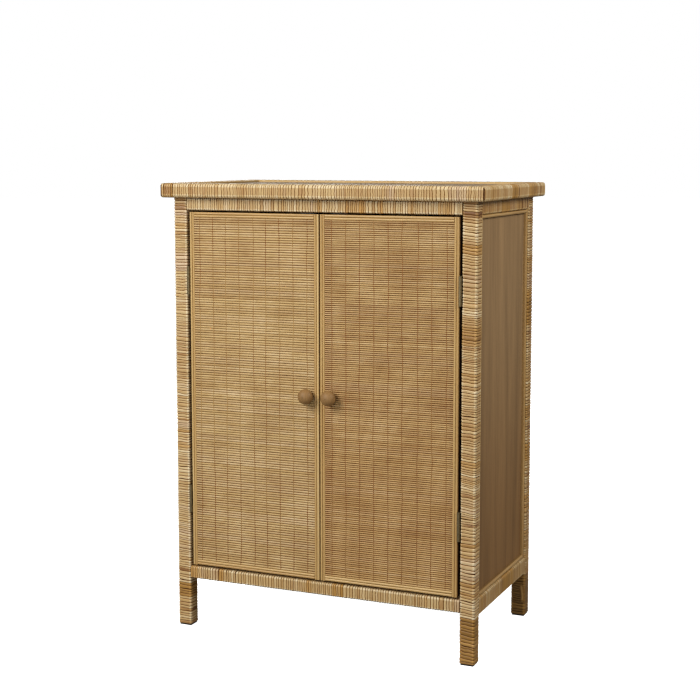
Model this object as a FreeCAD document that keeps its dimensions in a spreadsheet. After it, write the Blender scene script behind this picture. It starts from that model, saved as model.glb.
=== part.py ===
"""A two-door record cabinet wound with rattan peel, built as a parametric FreeCAD document.

The origin is on the floor below the middle of the cabinet. X runs to the right, Y to the back and Z up,
in millimetres. Every driving size is a cell of the Sizes sheet, what follows from them is a formula in the
Worked sheet, and each piece is bound to those cells by expressions.
"""

import FreeCAD, Part
import math
import os
import re

import Sketcher

Vector = FreeCAD.Vector
LEFT, RIGHT = -1, 1
SIDES = (("left", LEFT), ("right", RIGHT))
ENDS = (("front", -1), ("rear", 1))
EAST, NORTH, UP = Vector(1, 0, 0), Vector(0, 1, 0), Vector(0, 0, 1)
OUT = "parts"
# The knob's ball has rings of flats between these angles, in degrees from its back pole.
KNOB_ANGLES = (26, 48, 69, 90, 111, 132, 155)
KNOB_FLATS = 24

SIZES = (
    # Whole cabinet: the posts stand inside the overhanging table top.
    ("cabinet_height", 1000.0),
    ("body_width", 706.0),
    ("body_depth", 396.0),
    ("leg_height", 111.0),
    # Table top: a mitred wrapped frame with a panel sunk in it.
    ("top_overhang", 22.0),
    ("top_height", 31.5),
    ("top_member", 35.0),
    ("top_ease", 4.0),
    ("top_recess", 5.0),
    ("top_panel_thick", 9.0),
    ("top_bead_width", 5.0),
    ("top_bead_height", 5.2),
    ("top_bead_seat", 0.6),
    # Posts and rails: square wooden sticks in a wound skin of peel.
    ("post_size", 33.0),
    ("rail_height", 28.0),
    # The side rails under the panels are taller than the rest and hang below them.
    ("side_rail_height", 38.0),
    ("wrap_thick", 1.5),
    ("wrap_ease", 3.0),
    ("tenon_length", 6.0),
    ("tenon_width", 16.0),
    ("tenon_height", 15.0),
    ("glide_height", 3.5),
    ("glide_inset", 2.5),
    # Panels and boards.
    ("panel_recess", 10.0),
    ("panel_thick", 5.0),
    ("panel_bead_width", 8.5),
    ("panel_bead_height", 6.0),
    ("board_thick", 12.0),
    ("board_fit", 0.3),
    ("lower_bay_height", 394.0),
    ("bearer_height", 20.0),
    ("door_clearance", 0.5),
    ("shelf_setback", 6.0),
    # Doors: frame, plywood, stick mat and double bead, from the inside out.
    ("hinge_gap", 6.0),
    ("meeting_gap", 3.5),
    ("door_top_gap", 3.5),
    ("door_bottom_gap", 5.0),
    ("door_set_in", 0.5),
    ("door_bead_width", 5.7),
    ("door_bead_height", 4.5),
    ("stick_pitch", 4.6),
    ("stick_crest", 2.0),
    ("stick_height", 3.0),
    ("mat_base", 0.8),
    ("plywood_thick", 3.0),
    ("stile_width", 38.0),
    ("stile_thick", 14.0),
    # Turned ball knobs on the meeting stiles.
    ("knob_diameter", 34.0),
    ("knob_depth", 31.0),
    ("knob_neck", 13.0),
    ("knob_neck_length", 3.0),
    ("knob_from_edge", 25.0),
    ("knob_height", 547.0),
    # Butt hinges, two on each door, with the barrel in the hinge gap.
    ("hinge_height", 62.0),
    ("hinge_from_end", 120.0),
    ("hinge_proud", 1.0),
    ("middle_knuckle", 30.0),
    ("knuckle_gap", 0.3),
    ("leaf_width", 19.0),
    ("leaf_thick", 1.6),
    ("leaf_notch", 0.5),
    ("pin_diameter", 3.0),
    ("pin_clearance", 0.1),
    # Magnetic catches under the front top rail and their strike plates.
    ("catch_width", 40.0),
    ("catch_height", 13.0),
    ("catch_from_middle", 37.0),
    ("catch_gap", 0.3),
    ("strike_thick", 1.0),
    ("strike_width", 30.0),
    ("strike_height", 10.0),
)

WORKED = (
    ("half_width", "body_width / 2"),
    ("half_depth", "body_depth / 2"),
    ("top_half_width", "half_width + top_overhang"),
    ("top_half_depth", "half_depth + top_overhang"),
    ("body_top", "cabinet_height - top_height"),
    ("core_size", "post_size - 2 * wrap_thick"),
    # Cores are eased less than the wraps over them, so that the peel is as thick across the corners.
    ("core_ease", "wrap_ease - (2 - sqrt(2)) * wrap_thick"),
    ("top_core_ease", "top_ease - (2 - sqrt(2)) * wrap_thick"),
    ("post_x", "half_width - post_size / 2"),
    ("post_y", "half_depth - post_size / 2"),
    # The clear frame opening between the posts and between the rails.
    ("open_x", "half_width - post_size"),
    ("open_y", "half_depth - post_size"),
    ("open_floor", "leg_height + rail_height"),
    ("open_top", "body_top - rail_height"),
    # The panels lie between these planes, counted from the middle of the cabinet.
    ("side_outer", "half_width - panel_recess"),
    ("side_inner", "side_outer - panel_thick"),
    ("back_outer", "half_depth - panel_recess"),
    ("back_inner", "back_outer - panel_thick"),
    ("top_open_x", "top_half_width - top_member"),
    ("top_open_y", "top_half_depth - top_member"),
    ("top_face", "cabinet_height - top_recess"),
    # The panel's rebate is the bead's width and a little more, so that a flat thing lies between the beads.
    ("top_seat", "top_face - top_bead_seat"),
    ("top_field_inset", "top_bead_width + board_fit"),
    ("floor_top", "open_floor + board_thick"),
    ("shelf_bottom", "floor_top + lower_bay_height"),
    # The door's layers, from the bead's crest inwards.
    ("bead_crest", "door_set_in - half_depth"),
    ("plywood_face", "bead_crest + door_bead_height"),
    ("stile_face", "plywood_face + plywood_thick"),
    ("door_back", "stile_face + stile_thick"),
    ("mat_crest", "plywood_face - stick_height"),
    ("door_bottom", "open_floor + door_bottom_gap"),
    ("door_top", "open_top - door_top_gap"),
    ("door_inner", "meeting_gap / 2"),
    ("door_outer", "open_x - hinge_gap"),
    ("edge_width", "2 * door_bead_width"),
    ("mat_wide", "door_outer - door_inner - 2 * edge_width"),
    ("mat_high", "door_top - door_bottom - 2 * edge_width"),
    ("stick_count", "round(mat_high / stick_pitch)"),
    ("stick_step", "mat_high / stick_count"),
    ("knob_x", "door_inner + knob_from_edge"),
    # The hinge axis and the barrel.
    ("knuckle_radius", "hinge_gap / 2"),
    ("hinge_x", "open_x - knuckle_radius"),
    ("hinge_y", "0 - half_depth - hinge_proud"),
    ("leaf_start", "hinge_y + knuckle_radius + leaf_notch"),
    ("end_knuckle", "(hinge_height - middle_knuckle) / 2"),
    ("low_hinge", "door_bottom + hinge_from_end"),
    ("high_hinge", "door_top - hinge_from_end - hinge_height"),
    ("catch_back", "0 - open_y"),
    ("catch_front", "door_back + strike_thick + catch_gap"),
)

doc = FreeCAD.newDocument("RecordCabinet")
SHEET_OF = {alias: "Sizes." for alias, _ in SIZES}
SHEET_OF.update({alias: "Worked." for alias, _ in WORKED})
nodes = []


def bound(text):
    """The expression with each size's name led by the sheet that holds it."""
    return re.sub(r"[a-z_]+", lambda word: SHEET_OF.get(word.group(), "") + word.group(), text)


def fill_sheets():
    """The driving sizes as plain numbers, and the worked sizes as formulas on them."""
    sizes = doc.addObject("Spreadsheet::Sheet", "Sizes")
    for row, (alias, value) in enumerate(SIZES, 1):
        sizes.set(f"A{row}", alias)
        sizes.set(f"B{row}", str(value))
        sizes.setAlias(f"B{row}", alias)
    worked = doc.addObject("Spreadsheet::Sheet", "Worked")
    for row, (alias, formula) in enumerate(WORKED, 1):
        worked.set(f"A{row}", alias)
        worked.set(f"B{row}", "=" + bound(formula).replace("Worked.", ""))
        worked.setAlias(f"B{row}", alias)
    doc.recompute()


def bind(thing, **lengths):
    for name, text in lengths.items():
        thing.setExpression(name, bound(text))
    return thing


def put(thing, at, turn=None):
    """Places a piece at three expressions, turned first."""
    if turn:
        thing.Placement = FreeCAD.Placement(Vector(), turn)
    for letter, text in zip("xyz", at):
        thing.setExpression(".Placement.Base." + letter, bound(text))
    return thing


def node(thing, label):
    """Marks a finished sub-part and names its file."""
    thing.Label = label
    nodes.append(thing)
    return thing


def between(low, high):
    return f"({high}) - ({low})"


def about(middle, size):
    return f"({middle}) - ({size}) / 2", f"({middle}) + ({size}) / 2"


def mirrored(side, near, far):
    """The low and high limits of a stretch that lies from near to far on one side of the middle plane."""
    return (near, far) if side > 0 else (f"-({far})", f"-({near})")


def box(name, x, y, z):
    """A block between two limits on each axis."""
    block = doc.addObject("Part::Box", name)
    bind(block, Length=between(*x), Width=between(*y), Height=between(*z))
    return put(block, (x[0], y[0], z[0]))


def cylinder(name, at, radius, height, turn=None):
    rod = doc.addObject("Part::Cylinder", name)
    return put(bind(rod, Radius=radius, Height=height), at, turn)


def fuse(name, shapes):
    joined = doc.addObject("Part::MultiFuse", name)
    joined.Shapes = shapes
    joined.Refine = True
    return joined


def group(name, pieces):
    """Several separate solids that share one node."""
    together = doc.addObject("Part::Compound", name)
    together.Links = pieces
    return together


def cut(name, base, tools):
    """The base less the tools; the tools may themselves be pieces that pass through it."""
    less = doc.addObject("Part::Cut", name)
    less.Base = base
    less.Tool = tools[0] if len(tools) == 1 else group(name + "_tools", tools)
    return less


def origin_plane(body, role):
    return next(plane for plane in body.Origin.OriginFeatures if plane.Role == role)


def sketch_on(body, role):
    sketch = body.newObject("Sketcher::SketchObject", body.Name + "_sketch")
    sketch.AttachmentSupport = [(origin_plane(body, role), "")]
    sketch.MapMode = "FlatFace"
    return sketch


def fix_point(sketch, line, end, x, y):
    """Holds one end of a sketch element at two expressions from the sketch's origin."""
    for kind, text in (("DistanceX", x), ("DistanceY", y)):
        place = sketch.addConstraint(Sketcher.Constraint(kind, -1, 1, line, end, size_of(text)))
        sketch.setExpression(f"Constraints[{place}]", bound(text))


def outline(body, role, corners):
    """A closed polygon whose corners are pairs of expressions."""
    sketch = sketch_on(body, role)
    count = len(corners)
    rough = [Vector(*(size_of(text) for text in corner), 0) for corner in corners]
    for i in range(count):
        sketch.addGeometry(Part.LineSegment(rough[i], rough[(i + 1) % count]), False)
    for i in range(count):
        sketch.addConstraint(Sketcher.Constraint("Coincident", i, 2, (i + 1) % count, 1))
    for i, (x, y) in enumerate(corners):
        fix_point(sketch, i, 1, x, y)
    return sketch


def size_of(text):
    """What an expression is worth now, for a sketch's first rough drawing."""
    value = doc.Sizes.evalExpression(bound(text))
    return float(getattr(value, "Value", value))


def pad(body, sketch, length, both_ways=False):
    grown = body.newObject("PartDesign::Pad", body.Name + "_pad")
    grown.Profile = sketch
    grown.Midplane = both_ways
    return bind(grown, Length=length)


def ease_along(body, feature, direction, size):
    """Chamfers every edge of the feature that runs in one direction."""
    doc.recompute()
    names = []
    for number, edge in enumerate(feature.Shape.Edges, 1):
        run = edge.Vertexes[-1].Point - edge.Vertexes[0].Point
        if run.Length > 0 and run.normalize().cross(direction).Length < 0.001:
            names.append(f"Edge{number}")
    eased = body.newObject("PartDesign::Chamfer", body.Name + "_eased")
    eased.Base = (feature, names)
    return bind(eased, Size=size)


def square_bar(name, size_x, size_y, length, at, turn=None, ease=None):
    """A square bar that grows along its own Z axis, with eased long edges where a size is given for them."""
    body = doc.addObject("PartDesign::Body", name)
    x, y = f"({size_x}) / 2", f"({size_y}) / 2"
    corners = ((f"-{x}", f"-{y}"), (x, f"-{y}"), (x, y), (f"-{x}", y))
    grown = pad(body, outline(body, "XY_Plane", corners), length)
    if ease:
        ease_along(body, grown, UP, ease)
    return put(body, at, turn)


def mitred_bar(name, side_length, width, height, at, angle, ease=None):
    """A table-top member: its outer side lies on its own X axis and both ends are mitred at 45 degrees."""
    body = doc.addObject("PartDesign::Body", name)
    half = f"({side_length}) / 2"
    corners = ((f"-{half}", "0"), (half, "0"),
               (f"{half} - ({width})", width), (f"({width}) - {half}", width))
    grown = pad(body, outline(body, "XY_Plane", corners), height)
    if ease:
        ease_along(body, grown, EAST, ease)
    return put(body, at, FreeCAD.Rotation(UP, angle))


def half_round(name, width, height, length, at, crest, run):
    """A bead with a flat back: its round crest points along one axis and it runs along another."""
    body = doc.addObject("PartDesign::Body", name)
    sketch = sketch_on(body, "XY_Plane")
    half, shoulder = f"{width} / 2", f"{height} - {width} / 2"
    w, s = size_of(half), size_of(shoulder)
    foot_left, foot_right = Vector(-w, 0, 0), Vector(w, 0, 0)
    top_left, top_right = Vector(-w, s, 0), Vector(w, s, 0)
    sketch.addGeometry(Part.LineSegment(foot_left, foot_right), False)
    sketch.addGeometry(Part.LineSegment(foot_right, top_right), False)
    sketch.addGeometry(Part.Arc(top_right, Vector(0, s + w, 0), top_left), False)
    sketch.addGeometry(Part.LineSegment(top_left, foot_left), False)
    for i in range(4):
        sketch.addConstraint(Sketcher.Constraint("Coincident", i, 2, (i + 1) % 4, 1))
    fix_point(sketch, 0, 1, f"-{half}", "0")
    fix_point(sketch, 1, 1, half, "0")
    fix_point(sketch, 1, 2, half, shoulder)
    fix_point(sketch, 2, 3, "0", shoulder)
    end = sketch.addConstraint(Sketcher.Constraint("DistanceY", -1, 1, 3, 1, s))
    sketch.setExpression(f"Constraints[{end}]", bound(shoulder))
    pad(body, sketch, length)
    return put(body, at, FreeCAD.Rotation(crest.cross(run), crest, run, "ZXY"))


def hinge_levels():
    return (("low", "low_hinge"), ("high", "high_hinge"))


def hinge_leaf(name, side, foot, on_door):
    """One leaf of a butt hinge: a notched plate that is tangent to its knuckles."""
    if on_door:
        x = mirrored(side, "hinge_x - knuckle_radius", "hinge_x - knuckle_radius + leaf_thick")
        knuckles = (("0", "end_knuckle - knuckle_gap / 2"),
                    ("hinge_height - end_knuckle + knuckle_gap / 2", "hinge_height"))
        bore = "pin_diameter / 2 + pin_clearance"
    else:
        x = mirrored(side, "hinge_x + knuckle_radius - leaf_thick", "hinge_x + knuckle_radius")
        knuckles = (("end_knuckle + knuckle_gap / 2", "hinge_height - end_knuckle - knuckle_gap / 2"),)
        bore = "pin_diameter / 2"
    axis = (f"{side} * hinge_x", "hinge_y")
    parts = [box(name + "_plate", x, ("leaf_start", "hinge_y + leaf_width"),
                 (foot, f"{foot} + hinge_height"))]
    for number, (low, high) in enumerate(knuckles):
        z = (f"{foot} + {low}", f"{foot} + {high}")
        parts.append(box(f"{name}_strap{number}", x, ("hinge_y", "leaf_start"), z))
        parts.append(cylinder(f"{name}_knuckle{number}", (*axis, z[0]), "knuckle_radius", between(*z)))
    hole = cylinder(name + "_bore", (*axis, foot), bore, "hinge_height")
    return cut(name, fuse(name + "_blank", parts), [hole])


def rail_blanks():
    """The eight rail cores with stub tenons at both ends, and the outer blanks of their wraps."""
    cores, blanks = {}, {}
    along_x = FreeCAD.Rotation(NORTH, 90)
    along_y = FreeCAD.Rotation(EAST, -90)
    for level in ("bottom", "top"):
        for end_name, end in ENDS:
            key, y = f"{end_name}_{level}", f"{end} * post_y"
            tall, z = rail_level(level, "rail_height")
            bar = square_bar(f"rail_{key}_bar", f"{tall} - 2 * wrap_thick", "core_size", "2 * open_x",
                             ("-open_x", y, z), along_x, "core_ease")
            tenon = box(f"rail_{key}_tenon", tenon_reach("open_x"),
                        about(y, "tenon_width"), about(z, "tenon_height"))
            cores[key] = fuse(f"rail_{key}_core", [bar, tenon])
            blanks[key] = square_bar(f"rail_{key}_wound", tall, "post_size", "2 * open_x",
                                     ("-open_x", y, z), along_x, "wrap_ease")
        for side_name, side in SIDES:
            key, x = f"{side_name}_{level}", f"{side} * post_x"
            tall, z = rail_level(level, "side_rail_height" if level == "bottom" else "rail_height")
            bar = square_bar(f"rail_{key}_bar", "core_size", f"{tall} - 2 * wrap_thick", "2 * open_y",
                             (x, "-open_y", z), along_y, "core_ease")
            tenon = box(f"rail_{key}_tenon", about(x, "tenon_width"),
                        tenon_reach("open_y"), about(z, "tenon_height"))
            cores[key] = fuse(f"rail_{key}_core", [bar, tenon])
            blanks[key] = square_bar(f"rail_{key}_wound", "post_size", tall, "2 * open_y",
                                     (x, "-open_y", z), along_y, "wrap_ease")
    return cores, blanks


def rail_level(level, tall):
    """A rail's height and the height of its middle: bottom rails share one top line, top rails the body's top."""
    return tall, f"open_floor - {tall} / 2" if level == "bottom" else f"body_top - {tall} / 2"


def tenon_reach(half_opening):
    end = f"{half_opening} + wrap_thick + tenon_length"
    return f"-({end})", end


def make_rails(cores, blanks):
    for key, core in cores.items():
        node(core, f"rail_{key}")
        node(cut(f"rail_{key}_wrap", blanks[key], [core]), f"rail_wrap_{key}")


def make_posts(rail_cores):
    """Each post is a square core with a mortise for every tenon; the tenons pass its wrap through windows."""
    for end_name, end in ENDS:
        for side_name, side in SIDES:
            key = f"{end_name}_{side_name}"
            at = (f"{side} * post_x", f"{end} * post_y", "glide_height")
            core = square_bar(f"post_{key}_core", "core_size", "core_size", "body_top - glide_height", at,
                              ease="core_ease")
            wound = square_bar(f"post_{key}_wound", "post_size", "post_size", "body_top - glide_height", at,
                               ease="wrap_ease")
            rails = [rail_cores[f"{place}_{level}"]
                     for place in (end_name, side_name) for level in ("bottom", "top")]
            node(cut(f"post_{key}_mortised", core, rails), f"post_{key}")
            node(cut(f"post_{key}_wrap", wound, [core, *rails]), f"post_wrap_{key}")


def make_glides():
    size = "post_size - 2 * glide_inset"
    pads = [square_bar(f"glide_{end_name}_{side_name}", size, size, "glide_height",
                       (f"{side} * post_x", f"{end} * post_y", "0"))
            for end_name, end in ENDS for side_name, side in SIDES]
    node(group("glide_set", pads), "glides")


def bead_frame(name, width, height, low, high, plane, crest, run, across):
    """Four beads round a panel: the ones along run are full length and the others butt between them.

    low and high are the panel's two corners as expressions on the run and across axes, and plane is the point
    of the panel's face on the crest's axis.
    """
    def at(run_place, across_place):
        place = [None] * 3
        for axis, text in ((run, run_place), (across, across_place), (crest, plane)):
            place[[abs(axis.x), abs(axis.y), abs(axis.z)].index(1)] = text
        return place

    half = f"{width} / 2"
    long_length = between(low[0], high[0])
    short_length = f"{between(low[1], high[1])} - 2 * {width}"
    beads = []
    for number, middle in enumerate((f"({low[1]}) + {half}", f"({high[1]}) - {half}")):
        beads.append(half_round(f"{name}_long{number}", width, height, long_length,
                                at(low[0], middle), crest, run))
    for number, middle in enumerate((f"({low[0]}) + {half}", f"({high[0]}) - {half}")):
        start = f"({low[1]}) + {width}"
        beads.append(half_round(f"{name}_short{number}", width, height, short_length, at(middle, start),
                                crest, across))
    return beads


def make_panels():
    for side_name, side in SIDES:
        x = mirrored(side, "side_inner", "side_outer")
        panel = box(f"side_panel_{side_name}_sheet", x, ("-open_y", "open_y"), ("open_floor", "open_top"))
        node(panel, f"side_panel_{side_name}")
        beads = bead_frame(f"side_bead_{side_name}", "panel_bead_width", "panel_bead_height",
                           ("open_floor", "-open_y"), ("open_top", "open_y"), f"{side} * side_outer",
                           EAST * side, UP, NORTH)
        node(group(f"side_bead_set_{side_name}", beads), f"side_beads_{side_name}")
    back = box("back_sheet", ("-open_x", "open_x"), ("back_inner", "back_outer"), ("open_floor", "open_top"))
    node(back, "back_panel")


def board(name, front, bottom):
    """A floor or shelf board, notched round the four posts."""
    wide, narrow = "(side_inner - board_fit)", "(open_x - board_fit)"
    deep, rear = "(open_y - board_fit)", "back_inner - board_fit"
    corners = ((f"-{narrow}", front), (narrow, front), (narrow, f"-{deep}"), (wide, f"-{deep}"),
               (wide, deep), (narrow, deep), (narrow, rear), (f"-{narrow}", rear),
               (f"-{narrow}", deep), (f"-{wide}", deep), (f"-{wide}", f"-{deep}"), (f"-{narrow}", f"-{deep}"))
    body = doc.addObject("PartDesign::Body", name)
    pad(body, outline(body, "XY_Plane", corners), "board_thick")
    return put(body, ("0", "0", bottom))


def make_boards():
    node(board("floor_board", "door_back + door_clearance", "open_floor"), "floor_panel")
    node(board("shelf_board", "door_back + shelf_setback", "shelf_bottom"), "shelf")
    bearers = [box(f"shelf_bearer_{side_name}", mirrored(side, "open_x", "side_inner"),
                   ("-open_y", "open_y"), ("shelf_bottom - bearer_height", "shelf_bottom"))
               for side_name, side in SIDES]
    node(group("shelf_bearer_pair", bearers), "shelf_bearers")


def make_top():
    """The mitred frame cores, their wraps, the sunk panel, and the beads in the shallow rebate round it."""
    members = (("front", "top_half_width", 0, ("0", "-top_half_depth")),
               ("right", "top_half_depth", 90, ("top_half_width", "0")),
               ("rear", "top_half_width", 180, ("0", "top_half_depth")),
               ("left", "top_half_depth", 270, ("-top_half_width", "0")))
    cores = []
    for name, half, angle, (x, y) in members:
        wound = mitred_bar(f"top_{name}_wound", f"2 * {half}", "top_member", "top_height",
                           (x, y, "body_top"), angle, "top_ease")
        inset = FreeCAD.Rotation(UP, angle).multVec(NORTH)
        core_at = (f"{x} + {round(inset.x)} * wrap_thick", f"{y} + {round(inset.y)} * wrap_thick",
                   "body_top + wrap_thick")
        core = mitred_bar(f"top_{name}_core", f"2 * ({half} - wrap_thick)", "top_member - 2 * wrap_thick",
                          "top_height - 2 * wrap_thick", core_at, angle, "top_core_ease")
        cores.append(core)
        node(cut(f"top_{name}_wrap", wound, [core]), f"top_wrap_{name}")
    node(group("top_core_set", cores), "top_frame")
    sheet = box("top_sheet", ("-top_open_x", "top_open_x"), ("-top_open_y", "top_open_y"),
                ("top_face - top_panel_thick", "top_seat"))
    field_x, field_y = "top_open_x - top_field_inset", "top_open_y - top_field_inset"
    field = box("top_field", (f"-({field_x})", field_x), (f"-({field_y})", field_y), ("top_seat", "top_face"))
    node(fuse("top_rebated_sheet", [sheet, field]), "top_panel")
    beads = bead_frame("top_bead", "top_bead_width", "top_bead_height", ("-top_open_x", "-top_open_y"),
                       ("top_open_x", "top_open_y"), "top_seat", UP, EAST, NORTH)
    node(group("top_bead_set", beads), "top_beads")


def make_mat(side_name, side):
    """The stick mat: a thin woven ground that carries one half-round stick per step, all across the door."""
    body = doc.addObject("PartDesign::Body", f"mat_{side_name}_woven")
    half = "mat_wide / 2"
    corners = ((f"-{half}", "0"), (half, "0"), (half, "mat_high"), (f"-{half}", "mat_high"))
    ground = outline(body, "XZ_Plane", corners)
    pad(body, ground, "mat_base")
    low, high = "(stick_step - stick_crest) / 2", "(stick_step + stick_crest) / 2"
    profile = outline(body, "YZ_Plane", (("-mat_base", "0"), ("-mat_base", "stick_step"),
                                         ("-stick_height", high), ("-stick_height", low)))
    first = pad(body, profile, "mat_wide", both_ways=True)
    rows = body.newObject("PartDesign::LinearPattern", body.Name + "_rows")
    rows.Originals = [first]
    rows.Direction = (origin_plane(body, "Z_Axis"), [""])
    bind(rows, Length="mat_high - stick_step", Occurrences="stick_count")
    body.Tip = rows
    put(body, (f"{side} * (door_inner + door_outer) / 2", "plywood_face", "door_bottom + edge_width"))
    node(body, f"door_mat_{side_name}")


def make_door_beads(side_name, side):
    """The double bead: two half-rounds side by side on each edge, the upright ones full height."""
    beads = []
    for ring in range(2):
        inset = f"{ring} * door_bead_width"
        low_x, high_x = mirrored(side, f"door_inner + {inset}", f"door_outer - {inset}")
        for number, x in enumerate((f"({low_x}) + door_bead_width / 2", f"({high_x}) - door_bead_width / 2")):
            beads.append(half_round(f"door_bead_{side_name}_upright{ring}{number}", "door_bead_width",
                                    "door_bead_height", "door_top - door_bottom",
                                    (x, "plywood_face", "door_bottom"), -NORTH, UP))
        inner_x = mirrored(side, "door_inner + edge_width", "door_outer - edge_width")
        for number, z in enumerate((f"door_bottom + {inset} + door_bead_width / 2",
                                    f"door_top - {inset} - door_bead_width / 2")):
            beads.append(half_round(f"door_bead_{side_name}_level{ring}{number}", "door_bead_width",
                                    "door_bead_height", between(*inner_x),
                                    (inner_x[0], "plywood_face", z), -NORTH, EAST))
    node(group(f"door_bead_set_{side_name}", beads), f"door_beads_{side_name}")


def knob_shape():
    """A turned ball, a little flattened, on a short neck: rings of flats that stand along Z."""
    neck_radius, neck_length = size_of("knob_neck / 2"), size_of("knob_neck_length")
    ball_radius, ball_depth = size_of("knob_diameter / 2"), size_of("knob_depth / 2")
    turns = [math.radians(angle) for angle in KNOB_ANGLES]
    rings = [(neck_radius, 0.0)]
    for turn in turns:
        reach = neck_length + ball_depth * (math.cos(turns[0]) - math.cos(turn))
        rings.append((ball_radius * math.sin(turn), reach))
    steps = [2 * math.pi * i / KNOB_FLATS for i in range(KNOB_FLATS)]
    points = [[Vector(radius * math.cos(step), radius * math.sin(step), reach) for step in steps]
              for radius, reach in rings]
    outlines = [points[0], points[-1]]
    for low, high in zip(points, points[1:]):
        for i in range(KNOB_FLATS):
            after = (i + 1) % KNOB_FLATS
            outlines.append([low[i], low[after], high[after], high[i]])
    faces = [Part.Face(Part.makePolygon(corners + corners[:1])) for corners in outlines]
    return Part.Solid(Part.Shell(faces))


def make_knob(side_name, side):
    knob = doc.addObject("Part::Feature", f"knob_{side_name}_turned")
    knob.Shape = knob_shape()
    put(knob, (f"{side} * knob_x", "mat_crest", "knob_height"), FreeCAD.Rotation(UP, -NORTH))
    node(knob, f"knob_{side_name}")


def make_door(side_name, side):
    """One door with everything that swings on it."""
    thick = ("stile_face", "door_back")
    tall = ("door_bottom", "door_top")
    meeting_x = mirrored(side, "door_inner", "door_inner + stile_width")
    hinge_x = mirrored(side, "door_outer - stile_width", "door_outer")
    rail_x = mirrored(side, "door_inner + stile_width", "door_outer - stile_width")
    frame = [
        box(f"meeting_stile_{side_name}", meeting_x, thick, tall),
        box(f"hinge_stile_{side_name}", hinge_x, thick, tall),
        box(f"door_rail_low_{side_name}", rail_x, thick, ("door_bottom", "door_bottom + stile_width")),
        box(f"door_rail_high_{side_name}", rail_x, thick, ("door_top - stile_width", "door_top")),
    ]
    node(group(f"door_frame_{side_name}_set", frame), f"door_frame_{side_name}")
    sheet = box(f"door_plywood_{side_name}", mirrored(side, "door_inner", "door_outer"),
                ("plywood_face", "stile_face"), tall)
    node(sheet, f"door_panel_{side_name}")
    make_mat(side_name, side)
    make_door_beads(side_name, side)
    make_knob(side_name, side)
    leaves = [hinge_leaf(f"door_leaf_{side_name}_{level}", side, foot, on_door=True)
              for level, foot in hinge_levels()]
    node(group(f"door_leaf_set_{side_name}", leaves), f"hinge_door_leaves_{side_name}")
    strike_x = mirrored(side, *about("catch_from_middle", "strike_width"))
    strike = box(f"strike_{side_name}", strike_x,
                 ("door_back", "door_back + strike_thick"), ("door_top - strike_height", "door_top"))
    node(strike, f"strike_plate_{side_name}")


def make_fixed_hinge_parts():
    leaves, pins = [], []
    for side_name, side in SIDES:
        for level, foot in hinge_levels():
            leaves.append(hinge_leaf(f"post_leaf_{side_name}_{level}", side, foot, on_door=False))
            pins.append(cylinder(f"hinge_pin_{side_name}_{level}", (f"{side} * hinge_x", "hinge_y", foot),
                                 "pin_diameter / 2", "hinge_height"))
    node(group("post_leaf_set", leaves), "hinge_post_leaves")
    node(group("hinge_pin_set", pins), "hinge_pins")


def make_catches():
    catches = [box(f"catch_{side_name}", mirrored(side, *about("catch_from_middle", "catch_width")),
                   ("catch_front", "catch_back"), ("open_top - catch_height", "open_top"))
               for side_name, side in SIDES]
    node(group("catch_pair", catches), "magnetic_catches")


def check_and_export():
    """Stops on any failed object or broken shape, then writes one STEP file for each node."""
    doc.recompute()
    for thing in doc.Objects:
        if {"Invalid", "Error"} & set(thing.State):
            raise RuntimeError(f"{thing.Label} failed: {thing.State}")
    os.makedirs(OUT, exist_ok=True)
    for thing in nodes:
        if thing.Shape.isNull() or not thing.Shape.isValid() or not thing.Shape.Solids:
            raise RuntimeError(f"{thing.Label} has no valid solid")
    for thing in nodes:
        thing.Shape.exportStep(os.path.join(OUT, thing.Label + ".step"))
    print(len(nodes), "nodes,", sum(len(thing.Shape.Solids) for thing in nodes), "solids")


def main():
    fill_sheets()
    rail_cores, rail_wound = rail_blanks()
    make_posts(rail_cores)
    make_rails(rail_cores, rail_wound)
    make_glides()
    make_panels()
    make_boards()
    make_top()
    for side_name, side in SIDES:
        make_door(side_name, side)
    make_fixed_hinge_parts()
    make_catches()
    check_and_export()


main()
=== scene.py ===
"""Dresses a two-door record cabinet: peel-wound posts, rails and table top, stick-mat doors, cane beads, turned
knobs, brass butt hinges and veneered panels, on a plain pale studio floor."""

import math
from typing import NamedTuple

import bpy
import numpy as np
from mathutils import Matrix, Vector


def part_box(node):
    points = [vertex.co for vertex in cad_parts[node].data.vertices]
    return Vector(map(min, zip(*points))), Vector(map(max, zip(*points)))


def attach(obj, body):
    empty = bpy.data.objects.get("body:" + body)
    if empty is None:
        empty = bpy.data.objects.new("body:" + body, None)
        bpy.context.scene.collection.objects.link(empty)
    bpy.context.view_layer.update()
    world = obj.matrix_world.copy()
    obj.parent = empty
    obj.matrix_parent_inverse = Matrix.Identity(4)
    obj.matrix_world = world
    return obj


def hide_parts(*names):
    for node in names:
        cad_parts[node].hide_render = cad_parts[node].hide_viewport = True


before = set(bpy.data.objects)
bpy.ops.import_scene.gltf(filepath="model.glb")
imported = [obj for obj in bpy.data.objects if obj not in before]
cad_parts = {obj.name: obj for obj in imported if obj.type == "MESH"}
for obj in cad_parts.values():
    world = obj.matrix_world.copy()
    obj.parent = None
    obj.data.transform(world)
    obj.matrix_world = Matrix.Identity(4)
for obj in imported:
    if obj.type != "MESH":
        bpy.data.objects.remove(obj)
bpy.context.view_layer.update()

bl_info = {
    "name": "Wound Record Cabinet",
    "version": (1, 0, 0),
    "blender": (4, 5, 0),
    "location": "View3D > Sidebar > Cabinet",
    "description": "Builds the woven and turned pieces of a rattan record cabinet round its frame",
    "category": "Add Mesh",
}

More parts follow.
